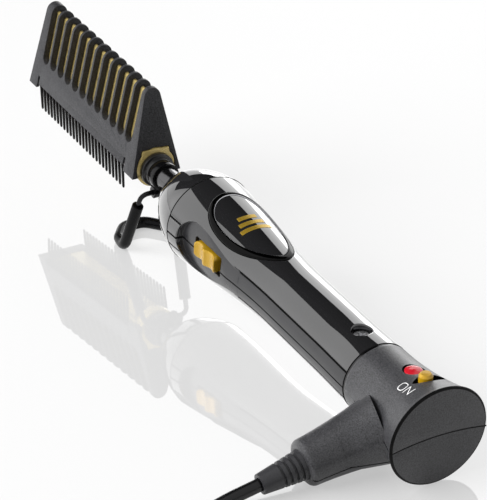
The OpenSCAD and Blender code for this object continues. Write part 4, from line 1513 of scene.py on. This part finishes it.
@dataclass(frozen=True)
class FinishedPieces:
    """All pieces that keep their packed form and get rounded edges."""

    tail: TailForm = TailForm()
    handle: HandleForm = HandleForm()
    neck_r: float = 4.675
    neck_z: float = 0.5
    collar_r: float = 13.25
    bars_lift: float = 0.1
    neck_span: Pair = (150.0, 230.0)
    collar_span: Pair = (38.0, 40.0)
    badge_span: Pair = (99.0, 150.0)
    nose_end: float = 184.8

    def pieces(self) -> list[Refined]:
        """List the pieces with their finishes.

        Returns:
            The pieces, not yet built.
        """
        handle, tail = self.handle, self.tail.surfaces()
        neck = Turned(lambda x: np.full(x.shape, self.neck_r), self.neck_span,
                      (0, 0, self.neck_z))
        collar = Turned(lambda x: np.full(x.shape, self.collar_r), self.collar_span)
        nose = Turned(nose_radius, (handle.seam, self.nose_end))
        window = Turned(handle.radius, self.badge_span)
        bars = Turned(lambda x: handle.radius(x) + self.bars_lift, self.badge_span)
        return [
            Refined("comb_guard", GUARD_BLACK, rounding=0.35, steps=3),
            Refined("heating_block", HEATED_GOLD, rounding=0.3),
            Refined("neck_washer", WASHER_BLACK, rounding=0.3),
            Refined("neck_tube", NECK_CHROME, forms=(neck,)),
            Refined("stand_bracket", STAND_BLACK, rounding=0.2),
            Refined("stand_wire", STAND_BLACK, Body.STAND, rounding=0, crease=50),
            Refined("stand_sleeve", SLEEVE_RUBBER, Body.STAND, rounding=0.2, crease=50),
            Refined("nose_cap", PIANO_BLACK, forms=(nose,)),
            Refined("badge_window", WINDOW_BLACK, rounding=0.08, steps=1, forms=(window,)),
            Refined("badge_bars", BADGE_GOLD, rounding=0.06, steps=1, forms=(bars,)),
            Refined("collar_ring", COLLAR_BLACK, rounding=0.1, forms=(collar,)),
            # The tail's second finish paints its dark joints, plus a painted dark reflection on
            # the rim and painted shade in the lamp's and knob's holes.
            Refined("tail_upper", CHARCOAL, forms=tail, second=LINE_BLACK, picks=self.tail.dark),
            Refined("tail_lower", CHARCOAL, forms=tail, second=LINE_BLACK, picks=self.tail.dark),
            Refined("strain_relief", RELIEF_RUBBER, rounding=0.2, forms=tail[-1:]),
            Refined("power_knob", KNOB_GOLD, Body.POWER_SWITCH, rounding=1.1, steps=5),
            Refined("indicator_lens", RED_LENS, rounding=0.2),
            Refined("handle_screw", STEEL, rounding=0.1, steps=1),
            Refined("guard_screw", STEEL, rounding=0.1, steps=1),
            Refined("plug_body", PLUG_RUBBER, rounding=0.8, steps=3),
        ]

    def build(self) -> None:
        """Make all finished pieces."""
        for piece in self.pieces():
            piece.build()


@dataclass(frozen=True)
class BadgeRing:
    """Raised bead round the badge, with a bright inner edge."""

    badge: BadgeForm = BadgeForm()
    handle: HandleForm = HandleForm()
    wide: float = 2.0
    proud: float = 0.42
    bottom: float = -1.5
    edge_from: float = 1.72
    fullness: float = 0.7
    profile_points: int = 13
    crease: float = math.radians(60)

    def ring(self, inset: float, height: float) -> Points:
        """Return a loop of points inside the badge's edge, at a height over the handle.

        Args:
            inset: how far inside the badge's edge.
            height: how far over the handle's surface.

        Returns:
            The loop's points.
        """
        loop = self.badge.outline(inset)
        reach = self.handle.radius(loop[:, 0]) + height
        return np.column_stack((loop, np.sqrt(reach ** 2 - loop[:, 1] ** 2)))

    def build(self) -> None:
        """Make the ring."""
        turn = np.linspace(0, np.pi, self.profile_points)
        insets = self.wide / 2 * (1 - np.cos(turn))
        heights = self.proud * np.sin(turn) ** self.fullness
        profile = [(0.0, self.bottom), *zip(insets, heights), (self.wide, self.bottom)]
        rings = np.array([self.ring(inset, height) for inset, height in profile])
        rows, around, _ = rings.shape
        ring = mesh_object("badge_bead", STANCE.place(rings),
                           quads(rows, around, looped=True), RING_BLACK)
        turn_outward(ring.data)
        ring.data.set_sharp_from_angle(angle=self.crease)
        Paintbox.dress(ring, RING_BLACK, RING_EDGE)
        for polygon in ring.data.polygons:
            row = polygon.index // around
            polygon.material_index = int(row < rows - 2 and profile[row][0] >= self.edge_from)
        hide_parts("badge_ring")


@dataclass(frozen=True)
class JointLines:
    """Fine dark joint lines: between the two shells of the tail, and round the nose."""

    half: float = 0.29
    sunk: float = 0.16
    ring: float = 0.3
    face_half: float = 18.9
    face_points: int = 60
    far_run: tuple[float, float, int] = (0.5, 38.0, 50)
    near_run: tuple[float, float, int] = (0.5, 9.8, 14)
    boss_run: Triple = (14.0, 39.9, 0.5)
    boss_clear: float = 20.0
    reaches: Triple = (6.0, 20.0, 0.02)
    nose_points: int = 121
    sides: int = 8
    tail: TailForm = TailForm()

    def height(self, y: Points) -> Points:
        """Return the height of the arched joint at places across the tail."""
        return self.tail.arch_z + np.sqrt(self.tail.arch ** 2 - y ** 2)

    def round_the_flare(self, x: Points, side: int) -> Points:
        """Return the joint's run along one side of the flare.

        Args:
            x: places along the axis.
            side: 1 for the cord's side, -1 for the far side.

        Returns:
            The run's points.
        """
        reach, centre = self.tail.flare(x) - self.sunk, self.tail.arch_z
        z = (self.tail.arch ** 2 - centre ** 2 - reach ** 2) / (-2 * centre)
        return np.column_stack((x, side * np.sqrt(reach ** 2 - z ** 2), z))

    def along_boss(self, side: int) -> Points:
        """Return the joint's run along one side of the cord boss and its root.

        Args:
            side: 1 or -1: towards the comb head or away from it.

        Returns:
            The run's points.
        """
        tail, below = self.tail, self.tail.joint_below
        c, s = math.cos(tail.droop), math.sin(tail.droop)
        way, down = np.array((0.0, c, -s)), np.array((0.0, -s, -c))
        *_, cone, _ = tail.surfaces()
        run = []
        for at in np.arange(*self.boss_run):
            radius = float(tail.boss(at) if at < tail.end_from else tail.boss_end(at))
            spots = [math.sqrt(radius ** 2 - below ** 2)]
            base = np.array(tail.boss_at) + way * at + down * below
            for reach in np.arange(*self.reaches):
                rel = base + np.array((side * reach, 0, 0)) - np.array(cone.origin)
                along = float(rel @ cone.way)
                away = np.linalg.norm(rel - along * cone.way)
                if 0 < along < cone.span[1] and away < float(cone.radius(along)):
                    spots.append(reach)
            point = base + np.array((side * (max(spots) - self.sunk), 0, 0))
            if at > self.boss_clear or math.hypot(*point[1:]) > float(tail.flare(point[0])):
                run.append(point)
        return np.array(run)

    def round_the_nose(self) -> Points:
        """Return the ring where the nose meets the handle.

        Returns:
            The ring's points, in the handle frame.
        """
        handle, turn = HandleForm(), np.linspace(0, 2 * math.pi, self.nose_points)
        reach = handle.radius(handle.seam) - self.sunk
        return np.column_stack((np.full(len(turn), handle.seam), reach * np.cos(turn),
                                reach * np.sin(turn)))

    def build(self) -> None:
        """Lay the lines on the tail and the handle."""
        across = np.linspace(-self.face_half, self.face_half, self.face_points)
        face = np.column_stack((np.full(len(across), self.sunk), across, self.height(across)))
        self.lay("tail_joint", [
            face, self.round_the_flare(np.linspace(*self.far_run), -1),
            self.round_the_flare(np.linspace(*self.near_run), 1),
            self.along_boss(-1), self.along_boss(1)], self.half)
        self.lay("nose_joint", [self.round_the_nose()], self.ring)

    def lay(self, name: str, paths: list[Points], half: float) -> None:
        """Make one piece of line from its paths.

        Args:
            name: the piece's name.
            paths: its centre lines.
            half: half its thickness.
        """
        points, faces = [], []
        for path in paths:
            part, skin = tube(path, half, self.sides)
            faces += [tuple(c + len(points) for c in f) for f in skin]
            points += list(part)
        mesh_object(name, STANCE.place(points), faces, LINE_BLACK)


def squarish(turn: Points, power: float) -> Points:
    """Return points of a unit circle that is drawn out towards its corners."""
    ways = np.column_stack((np.cos(turn), np.sin(turn)))
    return np.sign(ways) * np.abs(ways) ** power


@dataclass(frozen=True)
class SwitchMarks:
    """Printed marks beside the power switch: ON at its near end, a small ring at its far end."""

    stroke: float = 0.27
    lift: float = 0.03
    tail: TailForm = TailForm()
    o_half: Pair = (1.45, 1.55)
    o_at: Pair = (13.2, 6.9)
    n_corners: tuple[Pair, ...] = ((10.7, 8.6), (10.5, 5.5), (8.1, 8.6), (7.9, 5.5))
    ring_r: float = 0.8
    ring_at: Pair = (11.5, -9.6)
    squareness: float = 0.7
    round_points: int = 40
    stroke_points: int = 9

    def strokes(self) -> list[tuple[Points, bool]]:
        """Return the strokes' centre lines, x and y on the tail, and whether each is closed.

        Returns:
            Each stroke's points, with True where it is closed.
        """
        turn = np.linspace(0, 2 * np.pi, self.round_points + 1)[:-1]
        share = np.linspace(0, 1, self.stroke_points)[:, None]
        corners = np.array(self.n_corners)
        letter_n = np.concatenate([corners[:1], *((a + (b - a) * share)[1:]
                                                  for a, b in zip(corners, corners[1:]))])
        return [(squarish(turn, self.squareness) * self.o_half + self.o_at, True),
                (letter_n, False), (squarish(turn, 1.0) * self.ring_r + self.ring_at, True)]

    def build(self) -> None:
        """Print the marks on the tail."""
        points, faces = [], []
        for path, closed in self.strokes():
            ahead = (np.roll(path, -1, 0) - np.roll(path, 1, 0) if closed
                     else np.gradient(path, axis=0))
            ahead /= np.linalg.norm(ahead, axis=1)[:, None]
            side = np.column_stack((ahead[:, 1], -ahead[:, 0])) * self.stroke / 2
            start, n = len(points), len(path)
            for spot, off in zip(path, side):
                for way, up in ((1, 1), (-1, 1), (-1, -1), (1, -1)):
                    x, y = spot + way * off
                    reach = float(self.tail.flare(x)) + up * self.lift
                    points.append((x, y, math.sqrt(reach ** 2 - y ** 2)))
            faces += quads(n, 4, looped=closed, start=start)
            if not closed:
                faces += [tuple(range(at, at + 4)) for at in (start, len(points) - 4)]
        marks = mesh_object("switch_marks", STANCE.place(points), faces, MARK_WHITE, smooth=False)
        turn_outward(marks.data)


@dataclass(frozen=True)
class SideButton:
    """Slide button with two finger scoops and a ridge between them."""

    middle: float = 133.0
    half: float = 7.5
    centre_z: float = 1.5
    tall: float = 3.5
    corner: float = 1.9
    outer: float = 16.6
    inner: float = 12.95
    scoop: float = 5.2
    scoop_y: float = 20.6
    scoop_at: float = 3.9
    edge: float = 0.7
    end_points: int = 9
    flat_points: int = 61
    end_gap: float = 0.05
    rank_bends: Pair = (0.62, 0.38)
    rank_points: int = 7
    rank_flat: tuple[float, float, int] = (-0.3, 0.3, 5)
    crease: float = math.radians(50)

    def inside(self, x: Points, z: Points) -> Points:
        """Return how far points lie inside the button's outline.

        Args:
            x: places along the button.
            z: places up the button.

        Returns:
            Distances from the outline.
        """
        dx = np.abs(x) - (self.half - self.corner)
        dz = np.abs(z) - (self.tall - self.corner)
        beyond = np.hypot(np.maximum(dx, 0), np.maximum(dz, 0))
        return self.corner - beyond - np.minimum(np.maximum(dx, dz), 0)

    def front(self, x: Points, z: Points) -> Points:
        """Return the height of the button's face, scooped and rounded at its edge.

        Args:
            x: places along the button.
            z: places up the button.

        Returns:
            The heights of the face.
        """
        y = np.full(x.shape, self.outer)
        for side in (-1, 1):
            away = np.abs(x - side * self.scoop_at)
            dip = self.scoop_y - np.sqrt(np.maximum(self.scoop ** 2 - away ** 2, 0))
            y = np.where(away < self.scoop, np.minimum(y, dip), y)
        inside = np.clip(self.inside(x, z), 0, self.edge)
        return y - self.edge + np.sqrt(np.maximum(self.edge ** 2 - (self.edge - inside) ** 2, 0))

    def face(self) -> Points:
        """Return the points of the button's face, column by column and up each column.

        Returns:
            An array of columns by ranks by x, y, z.
        """
        flat, end = self.half - self.corner, np.linspace(0, np.pi / 2, self.end_points)
        rounding = self.corner * (1 - np.cos(end))
        columns = np.concatenate((-self.half + rounding,
                                  np.linspace(-flat, flat, self.flat_points)[1:-1],
                                  self.half - rounding[::-1]))
        columns[0], columns[-1] = columns[0] + self.end_gap, columns[-1] - self.end_gap
        low, high = self.rank_bends
        ranks = np.concatenate((np.cos(np.linspace(np.pi, np.pi * low, self.rank_points)),
                                np.linspace(*self.rank_flat),
                                np.cos(np.linspace(np.pi * high, 0, self.rank_points))))
        dx = np.maximum(np.abs(columns) - flat, 0)
        reach = self.tall - self.corner + np.sqrt(np.maximum(self.corner ** 2 - dx ** 2, 0))
        x, z = np.repeat(columns[:, None], len(ranks), 1), np.outer(reach, ranks)
        return np.stack((x + self.middle, self.front(x, z), z + self.centre_z), axis=-1)

    def build(self) -> None:
        """Make the button on its slide's body."""
        face = self.face()
        m, n, _ = face.shape
        numbers = np.arange(m * n).reshape(m, n)
        rim = [int(k) for k in np.concatenate((
            numbers[:, 0], numbers[-1, 1:], numbers[-2::-1, -1], numbers[0, -2:0:-1]))]
        points = list(face.reshape(-1, 3))
        start, count = len(points), len(rim)
        points += [(points[k][0], self.inner, points[k][2]) for k in rim]
        walls = [(rim[k], rim[(k + 1) % count], start + (k + 1) % count, start + k)
                 for k in range(count)]
        faces = quads(m, n, closed=False) + walls + [tuple(range(start, start + count))]
        button = mesh_object("side_button", STANCE.place(points), faces, SWITCH_GOLD,
                             Body.HEAT_SWITCH)
        turn_outward(button.data)
        button.data.set_sharp_from_angle(angle=self.crease)
        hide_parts("heat_switch_button")


@dataclass(frozen=True)
class ToothRows:
    """Two rows of tapered teeth under the guard, on their rails."""

    count: int = 26
    pitch: float = 2.96
    first: float = 213.0
    top: float = 0.6
    tip: float = -11.8
    thick: float = 1.5
    deep: float = 0.98
    across: float = 9.0
    lean: float = 3.0
    corners: int = 12
    roundness: float = 0.6
    levels: tuple[Triple, ...] = ((6.2, 0.92, 0.96), (11.5, 0.78, 0.86), (12.05, 0.66, 0.72),
                                  (12.32, 0.36, 0.4))
    rail_x: Pair = (207.7, 288.8)
    rail_outline: tuple[Pair, ...] = ((7.95, 0.2), (9.05, 0.2), (9.03, 1.2), (8.3, 4.45),
                                      (7.35, 4.45), (7.35, 3.0))

    def tooth(self) -> tuple[Points, list[Face]]:
        """Return one tooth in metres, hanging from the origin: rounded section, narrow tip.

        Returns:
            Its points and its faces.
        """
        turn = np.linspace(0, 2 * np.pi, self.corners, endpoint=False)
        section = squarish(turn, self.roundness) * (self.thick / 2, self.deep / 2)
        levels = ((0.0, 1.0, 1.0), *self.levels)
        points = [(wide * x, deep * y, -down) for down, wide, deep in levels for x, y in section]
        points.append((0.0, 0.0, self.tip - self.top))
        n, last = self.corners, len(points) - 1
        faces = [(b, a, d, c) for a, b, c, d in quads(len(levels), n)] + [tuple(range(n))]
        base = last - n
        faces += [(base + (i + 1) % n, base + i, last) for i in range(n)]
        return np.array(points) / MM_PER_M, faces

    def tree(self, tooth: Object) -> Tree:
        """Make the nodes that hang a row of teeth under a rail.

        Args:
            tooth: the single tooth.

        Returns:
            The tree, with inputs Count, Pitch, First, Turn, Step and Finish.
        """
        tree = bpy.data.node_groups.new("tooth_row", "GeometryNodeTree")
        add_sockets(tree, {"Geometry": "Geometry", "Count": "Int", "Pitch": "Float",
                           "First": "Vector", "Turn": "Vector", "Step": "Vector",
                           "Finish": "Material"}, {"Geometry": "Geometry"})
        given = tree.nodes.new("NodeGroupInput").outputs
        line = add_node(tree, "GeometryNodeMeshLine", Count=given["Count"],
                        Start_Location=given["First"],
                        Offset=scaled(tree, given["Step"], given["Pitch"]))
        info = add_node(tree, "GeometryNodeObjectInfo", Object=tooth)
        place = add_node(tree, "GeometryNodeInstanceOnPoints", Points=line.outputs["Mesh"],
                         Instance=info.outputs["Geometry"], Rotation=given["Turn"])
        join = add_node(tree, "GeometryNodeJoinGeometry", Geometry=place.outputs["Instances"])
        feed(join, Geometry=given["Geometry"])
        real = add_node(tree, "GeometryNodeRealizeInstances", Geometry=join.outputs["Geometry"])
        dress = add_node(tree, "GeometryNodeSetMaterial", Geometry=real.outputs["Geometry"],
                         Material=given["Finish"])
        add_node(tree, "NodeGroupOutput", Geometry=dress.outputs["Geometry"])
        return tree

    def rail(self, side: int) -> tuple[Points, list[Face]]:
        """Return the rail that carries a row, in the handle frame.

        Args:
            side: 1 for the left rail, -1 for the right one.

        Returns:
            Its points and faces.
        """
        n = len(self.rail_outline)
        points = [(x, side * y, z) for x in self.rail_x for y, z in self.rail_outline]
        return np.array(points), quads(2, n) + [tuple(range(n))[::-1], tuple(range(n, 2 * n))]

    def row(self, node: str, side: int, tree: Tree) -> None:
        """Make one row in place of a packed rail and its teeth.

        Args:
            node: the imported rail.
            side: 1 for the left row, -1 for the right one.
            tree: the nodes that hang the teeth.
        """
        points, faces = self.rail(side)
        row = mesh_object(node + "_row", STANCE.place(points), faces, TOOTH_BLACK, smooth=False)
        turn_outward(row.data)
        y = side * self.across
        first, ahead = STANCE.place([(self.first, y, self.top), (self.first + 1, y, self.top)])
        modifier = row.modifiers.new("teeth", "NODES")
        modifier.node_group = tree
        ids = {item.name: item.identifier for item in tree.interface.items_tree
               if item.in_out == "INPUT"}
        for name, value in (
                ("Count", self.count), ("Pitch", self.pitch), ("First", tuple(first)),
                ("Step", tuple(ahead - first)), ("Finish", Paintbox.material(TOOTH_BLACK)),
                ("Turn", (-side * math.radians(self.lean), -STANCE.tilt, 0.0))):
            modifier[ids[name]] = value
        applied(row, modifier)
        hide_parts(node)

    def build(self) -> None:
        """Make both rows."""
        tooth = mesh_object("tooth", *self.tooth(), TOOTH_BLACK)
        tree = self.tree(tooth)
        for side, node in ((1, "tooth_rail_left"), (-1, "tooth_rail_right")):
            self.row(node, side, tree)
        bpy.data.objects.remove(tooth)


# ---------------------------------------------------------------- studio
def direction(azimuth: float, elevation: float) -> Vector:
    """Return the unit vector of a direction given in degrees."""
    a, e = math.radians(azimuth), math.radians(elevation)
    return Vector((math.cos(a) * math.cos(e), math.sin(a) * math.cos(e), math.sin(e)))


@dataclass(frozen=True)
class Spot:
    """Where a panel hangs, facing the comb, and its width and height; angles in degrees."""

    azimuth: float
    elevation: float
    distance: float
    size: Pair

    def hang(self, obj: Object) -> None:
        """Hang an object here.

        Args:
            obj: the object.
        """
        way = direction(self.azimuth, self.elevation)
        obj.location = way * self.distance
        obj.rotation_euler = (-way).to_track_quat("-Z", "Y").to_euler()


@dataclass(frozen=True)
class Studio:
    """White floor and backdrop, soft panels, and a dark card that the gloss mirrors."""

    white: float = 1.0
    fill: float = 0.45
    mirror: float = 0.3
    floor_size: float = 40.0
    floor_glow: float = 1.27
    floor_tone: float = 0.55
    glossy_tone: float = 0.35
    glow_seen: float = 0.55
    glow_mirrored: float = 0.2
    card_tone: float = 0.004
    card_distance: float = 1.9
    card_corners: tuple[Pair, ...] = (
        (11, 14), (11, 46.5), (36, 47.5), (36, 64), (-47, 64), (-47, 39.5), (-26, 38.5),
        (-36, 23), (-30, 14))

    @staticmethod
    def sheet(name: str, corners: Sequence[Sequence[float]], material: Material) -> Object:
        """Stage a flat sheet.

        Args:
            name: the sheet's name.
            corners: its corners in metres, in order.
            material: its material.

        Returns:
            The new object.
        """
        mesh = bpy.data.meshes.new(name)
        mesh.from_pydata([tuple(c) for c in corners], [], [tuple(range(len(corners)))])
        mesh.materials.append(material)
        sheet = link_object(name, mesh)
        return sheet

    @staticmethod
    def rectangle(width: float, height: float) -> list[Triple]:
        """Return the corners of a level rectangle round the origin."""
        return [(sx * width / 2, sy * height / 2, 0)
                for sx, sy in ((-1, -1), (1, -1), (1, 1), (-1, 1))]

    @staticmethod
    def only_mirrored(obj: Object) -> None:
        """Leave an object to reflections alone."""
        obj.visible_camera = obj.visible_diffuse = obj.visible_shadow = False

    def world(self) -> None:
        """Light all round at a plain level, and white where the background shows."""
        world = bpy.data.worlds.new("studio")
        bpy.context.scene.world = world
        world.use_nodes = True
        tree = world.node_tree
        rays = tree.nodes.new("ShaderNodeLightPath").outputs
        seen = math_node(tree, "MAXIMUM", rays["Is Camera Ray"], rays["Is Glossy Ray"])
        seen = math_node(tree, "MAXIMUM", seen, rays["Is Transmission Ray"])
        level = math_node(tree, "MULTIPLY", seen, self.white - self.fill)
        feed(tree.nodes["Background"], Color=(1, 1, 1, 1),
             Strength=math_node(tree, "ADD", level, self.fill))

    def floor(self) -> None:
        """Lay a pale floor that stays white in view and keeps soft shadows."""
        material, shader = new_material("floor_white", Roughness=0.5)
        tree = material.node_tree
        rays = tree.nodes.new("ShaderNodeLightPath").outputs
        camera, glossy = rays["Is Camera Ray"], rays["Is Glossy Ray"]
        tone = math_node(tree, "MULTIPLY", glossy, self.glossy_tone)
        feed(shader, Base_Color=math_node(tree, "ADD", tone, self.floor_tone))
        glow = add_node(tree, "ShaderNodeEmission", Strength=self.floor_glow)
        polish = add_node(tree, "ShaderNodeBsdfGlossy", Roughness=0.0)
        share = math_node(tree, "ADD", math_node(tree, "MULTIPLY", camera, self.glow_seen),
                          math_node(tree, "MULTIPLY", glossy, self.glow_mirrored))
        plain = mixed(tree, share, shader.outputs["BSDF"], glow.outputs["Emission"])
        both = mixed(tree, math_node(tree, "MULTIPLY", camera, self.mirror), plain,
                     polish.outputs["BSDF"])
        feed(tree.nodes["Material Output"], Surface=both)
        self.sheet("floor", self.rectangle(self.floor_size, self.floor_size), material)

    def panel(self, name: str, spot: Spot, radiance: float, mirrored: bool = True) -> None:
        """Hang a soft light panel that faces the comb.

        Args:
            name: the panel's name.
            spot: where it hangs and its size.
            radiance: how bright its face is; 1 is white.
            mirrored: True if gloss reflects it.
        """
        lamp = bpy.data.lights.new(name, "AREA")
        lamp.shape, (lamp.size, lamp.size_y) = "RECTANGLE", spot.size
        lamp.energy = radiance * math.pi * spot.size[0] * spot.size[1]
        obj = link_object(name, lamp)
        spot.hang(obj)
        obj.visible_glossy = mirrored

    def soft_panel(self, name: str, spot: Spot, radiance: float, *fades: Pair) -> None:
        """Hang a glowing panel that only gloss sees, fading out to its left and downwards.

        Args:
            name: the panel's name.
            spot: where it hangs and its size.
            radiance: how bright it is at its brightest; 1 is white.
            fades: shares of its width and of its height where it starts to glow and glows fully.
        """
        material, _ = new_material(name + "_glow")
        tree = material.node_tree
        parts = tree.nodes.new("ShaderNodeSeparateXYZ")
        fill_slot(parts.inputs[0], tree.nodes.new("ShaderNodeTexCoord").outputs["UV"])
        masks = []
        for socket, (start, end) in zip("XY", fades):
            spread = add_node(tree, "ShaderNodeMapRange", Value=parts.outputs[socket],
                              From_Min=start, From_Max=end)
            spread.interpolation_type = "SMOOTHSTEP"
            masks.append(spread.outputs["Result"])
        sharp = tree.nodes.new("ShaderNodeLightPath").outputs["Is Singular Ray"]
        mask = math_node(tree, "MULTIPLY", math_node(tree, "MULTIPLY", *masks),
                         math_node(tree, "SUBTRACT", 1.0, sharp))
        glow = add_node(tree, "ShaderNodeEmission", Strength=radiance)
        clear = tree.nodes.new("ShaderNodeBsdfTransparent")
        both = mixed(tree, mask, clear.outputs["BSDF"], glow.outputs["Emission"])
        feed(tree.nodes["Material Output"], Surface=both)
        sheet = self.sheet(name, self.rectangle(*spot.size), material)
        layer = sheet.data.uv_layers.new(name="UVMap")
        for loop, uv in zip(layer.data, ((0, 0), (1, 0), (1, 1), (0, 1))):
            loop.uv = uv
        spot.hang(sheet)
        self.only_mirrored(sheet)

    def card(self) -> None:
        """Hang a black card that only reflections see."""
        tone = self.card_tone
        material, shader = new_material("card_black", Base_Color=(tone, tone, tone, 1),
                                        Roughness=1.0, IOR=1.0)
        tree = material.node_tree
        sharp = tree.nodes.new("ShaderNodeLightPath").outputs["Is Singular Ray"]
        clear = tree.nodes.new("ShaderNodeBsdfTransparent")
        both = mixed(tree, sharp, shader.outputs["BSDF"], clear.outputs["BSDF"])
        feed(tree.nodes["Material Output"], Surface=both)
        corners = [direction(*corner) * self.card_distance for corner in self.card_corners]
        self.only_mirrored(self.sheet("dark_card", corners, material))

    def build(self) -> None:
        """Set up the floor, the lights and the card."""
        self.world()
        self.floor()
        self.soft_panel("side_panel", Spot(36, 36, 2.2, (2.1, 3.08)), 1.65,
                        (0.0, 0.4), (-0.1, 0.15))
        self.soft_panel("back_panel", Spot(-47, 27, 2.4, (1.5, 1.1)), 2.1,
                        (-1.0, 0.0), (-1.0, 0.0))
        self.panel("edge_panel", Spot(-42, 9, 2.4, (1.4, 0.7)), 3.0)
        self.panel("key_panel", Spot(75, 32, 2.5, (2.0, 1.6)), 13.0, mirrored=False)
        self.card()


@dataclass(frozen=True)
class Viewpoint:
    """The camera."""

    location: Triple = (-0.729814, 0.388954, 0.446412)
    turn: Triple = (63.0704, 0.3849, -119.4037)
    lens: float = 179.06
    sensor: float = 36.0
    clip: Pair = (0.01, 100.0)

    def build(self) -> None:
        """Place the camera and plain colour management."""
        data = bpy.data.cameras.new("camera")
        data.lens, data.sensor_width, data.sensor_fit = self.lens, self.sensor, "AUTO"
        data.clip_start, data.clip_end = self.clip
        camera = link_object("camera", data)
        camera.location = self.location
        camera.rotation_euler = Euler([math.radians(a) for a in self.turn], "XYZ")
        bpy.context.scene.camera = camera
        bpy.context.scene.view_settings.view_transform = "Standard"


@dataclass(frozen=True)
class PackedPieces:
    """Pieces that show as they were packed, with their finishes."""

    finishes: tuple[tuple[Finish, tuple[str, ...]], ...] = PACKED

    def build(self) -> None:
        """Dress every piece that stays as it was packed."""
        for finish, nodes in self.finishes:
            for node in nodes:
                Paintbox.dress(frame["nodes"][node], finish)
                log.info("%s: %s", node, finish.name)


def main() -> None:
    """Build the whole object and its studio, and report each piece."""
    logging.basicConfig(level=logging.INFO, format="%(message)s")
    for part in (Viewpoint, PackedPieces, HandleShells, FinishedPieces, BadgeRing, JointLines,
                 SwitchMarks, SideButton, ToothRows, MainsCord, Studio):
        known = {obj.name for obj in bpy.data.objects}
        part().build()
        for obj in (item for item in bpy.data.objects if item.name not in known):
            size = f", {len(obj.data.polygons)} faces" if obj.type == "MESH" else ""
            log.info("%s: %s%s", part.__name__, obj.name, size)


if __name__ == "__main__":
    main()
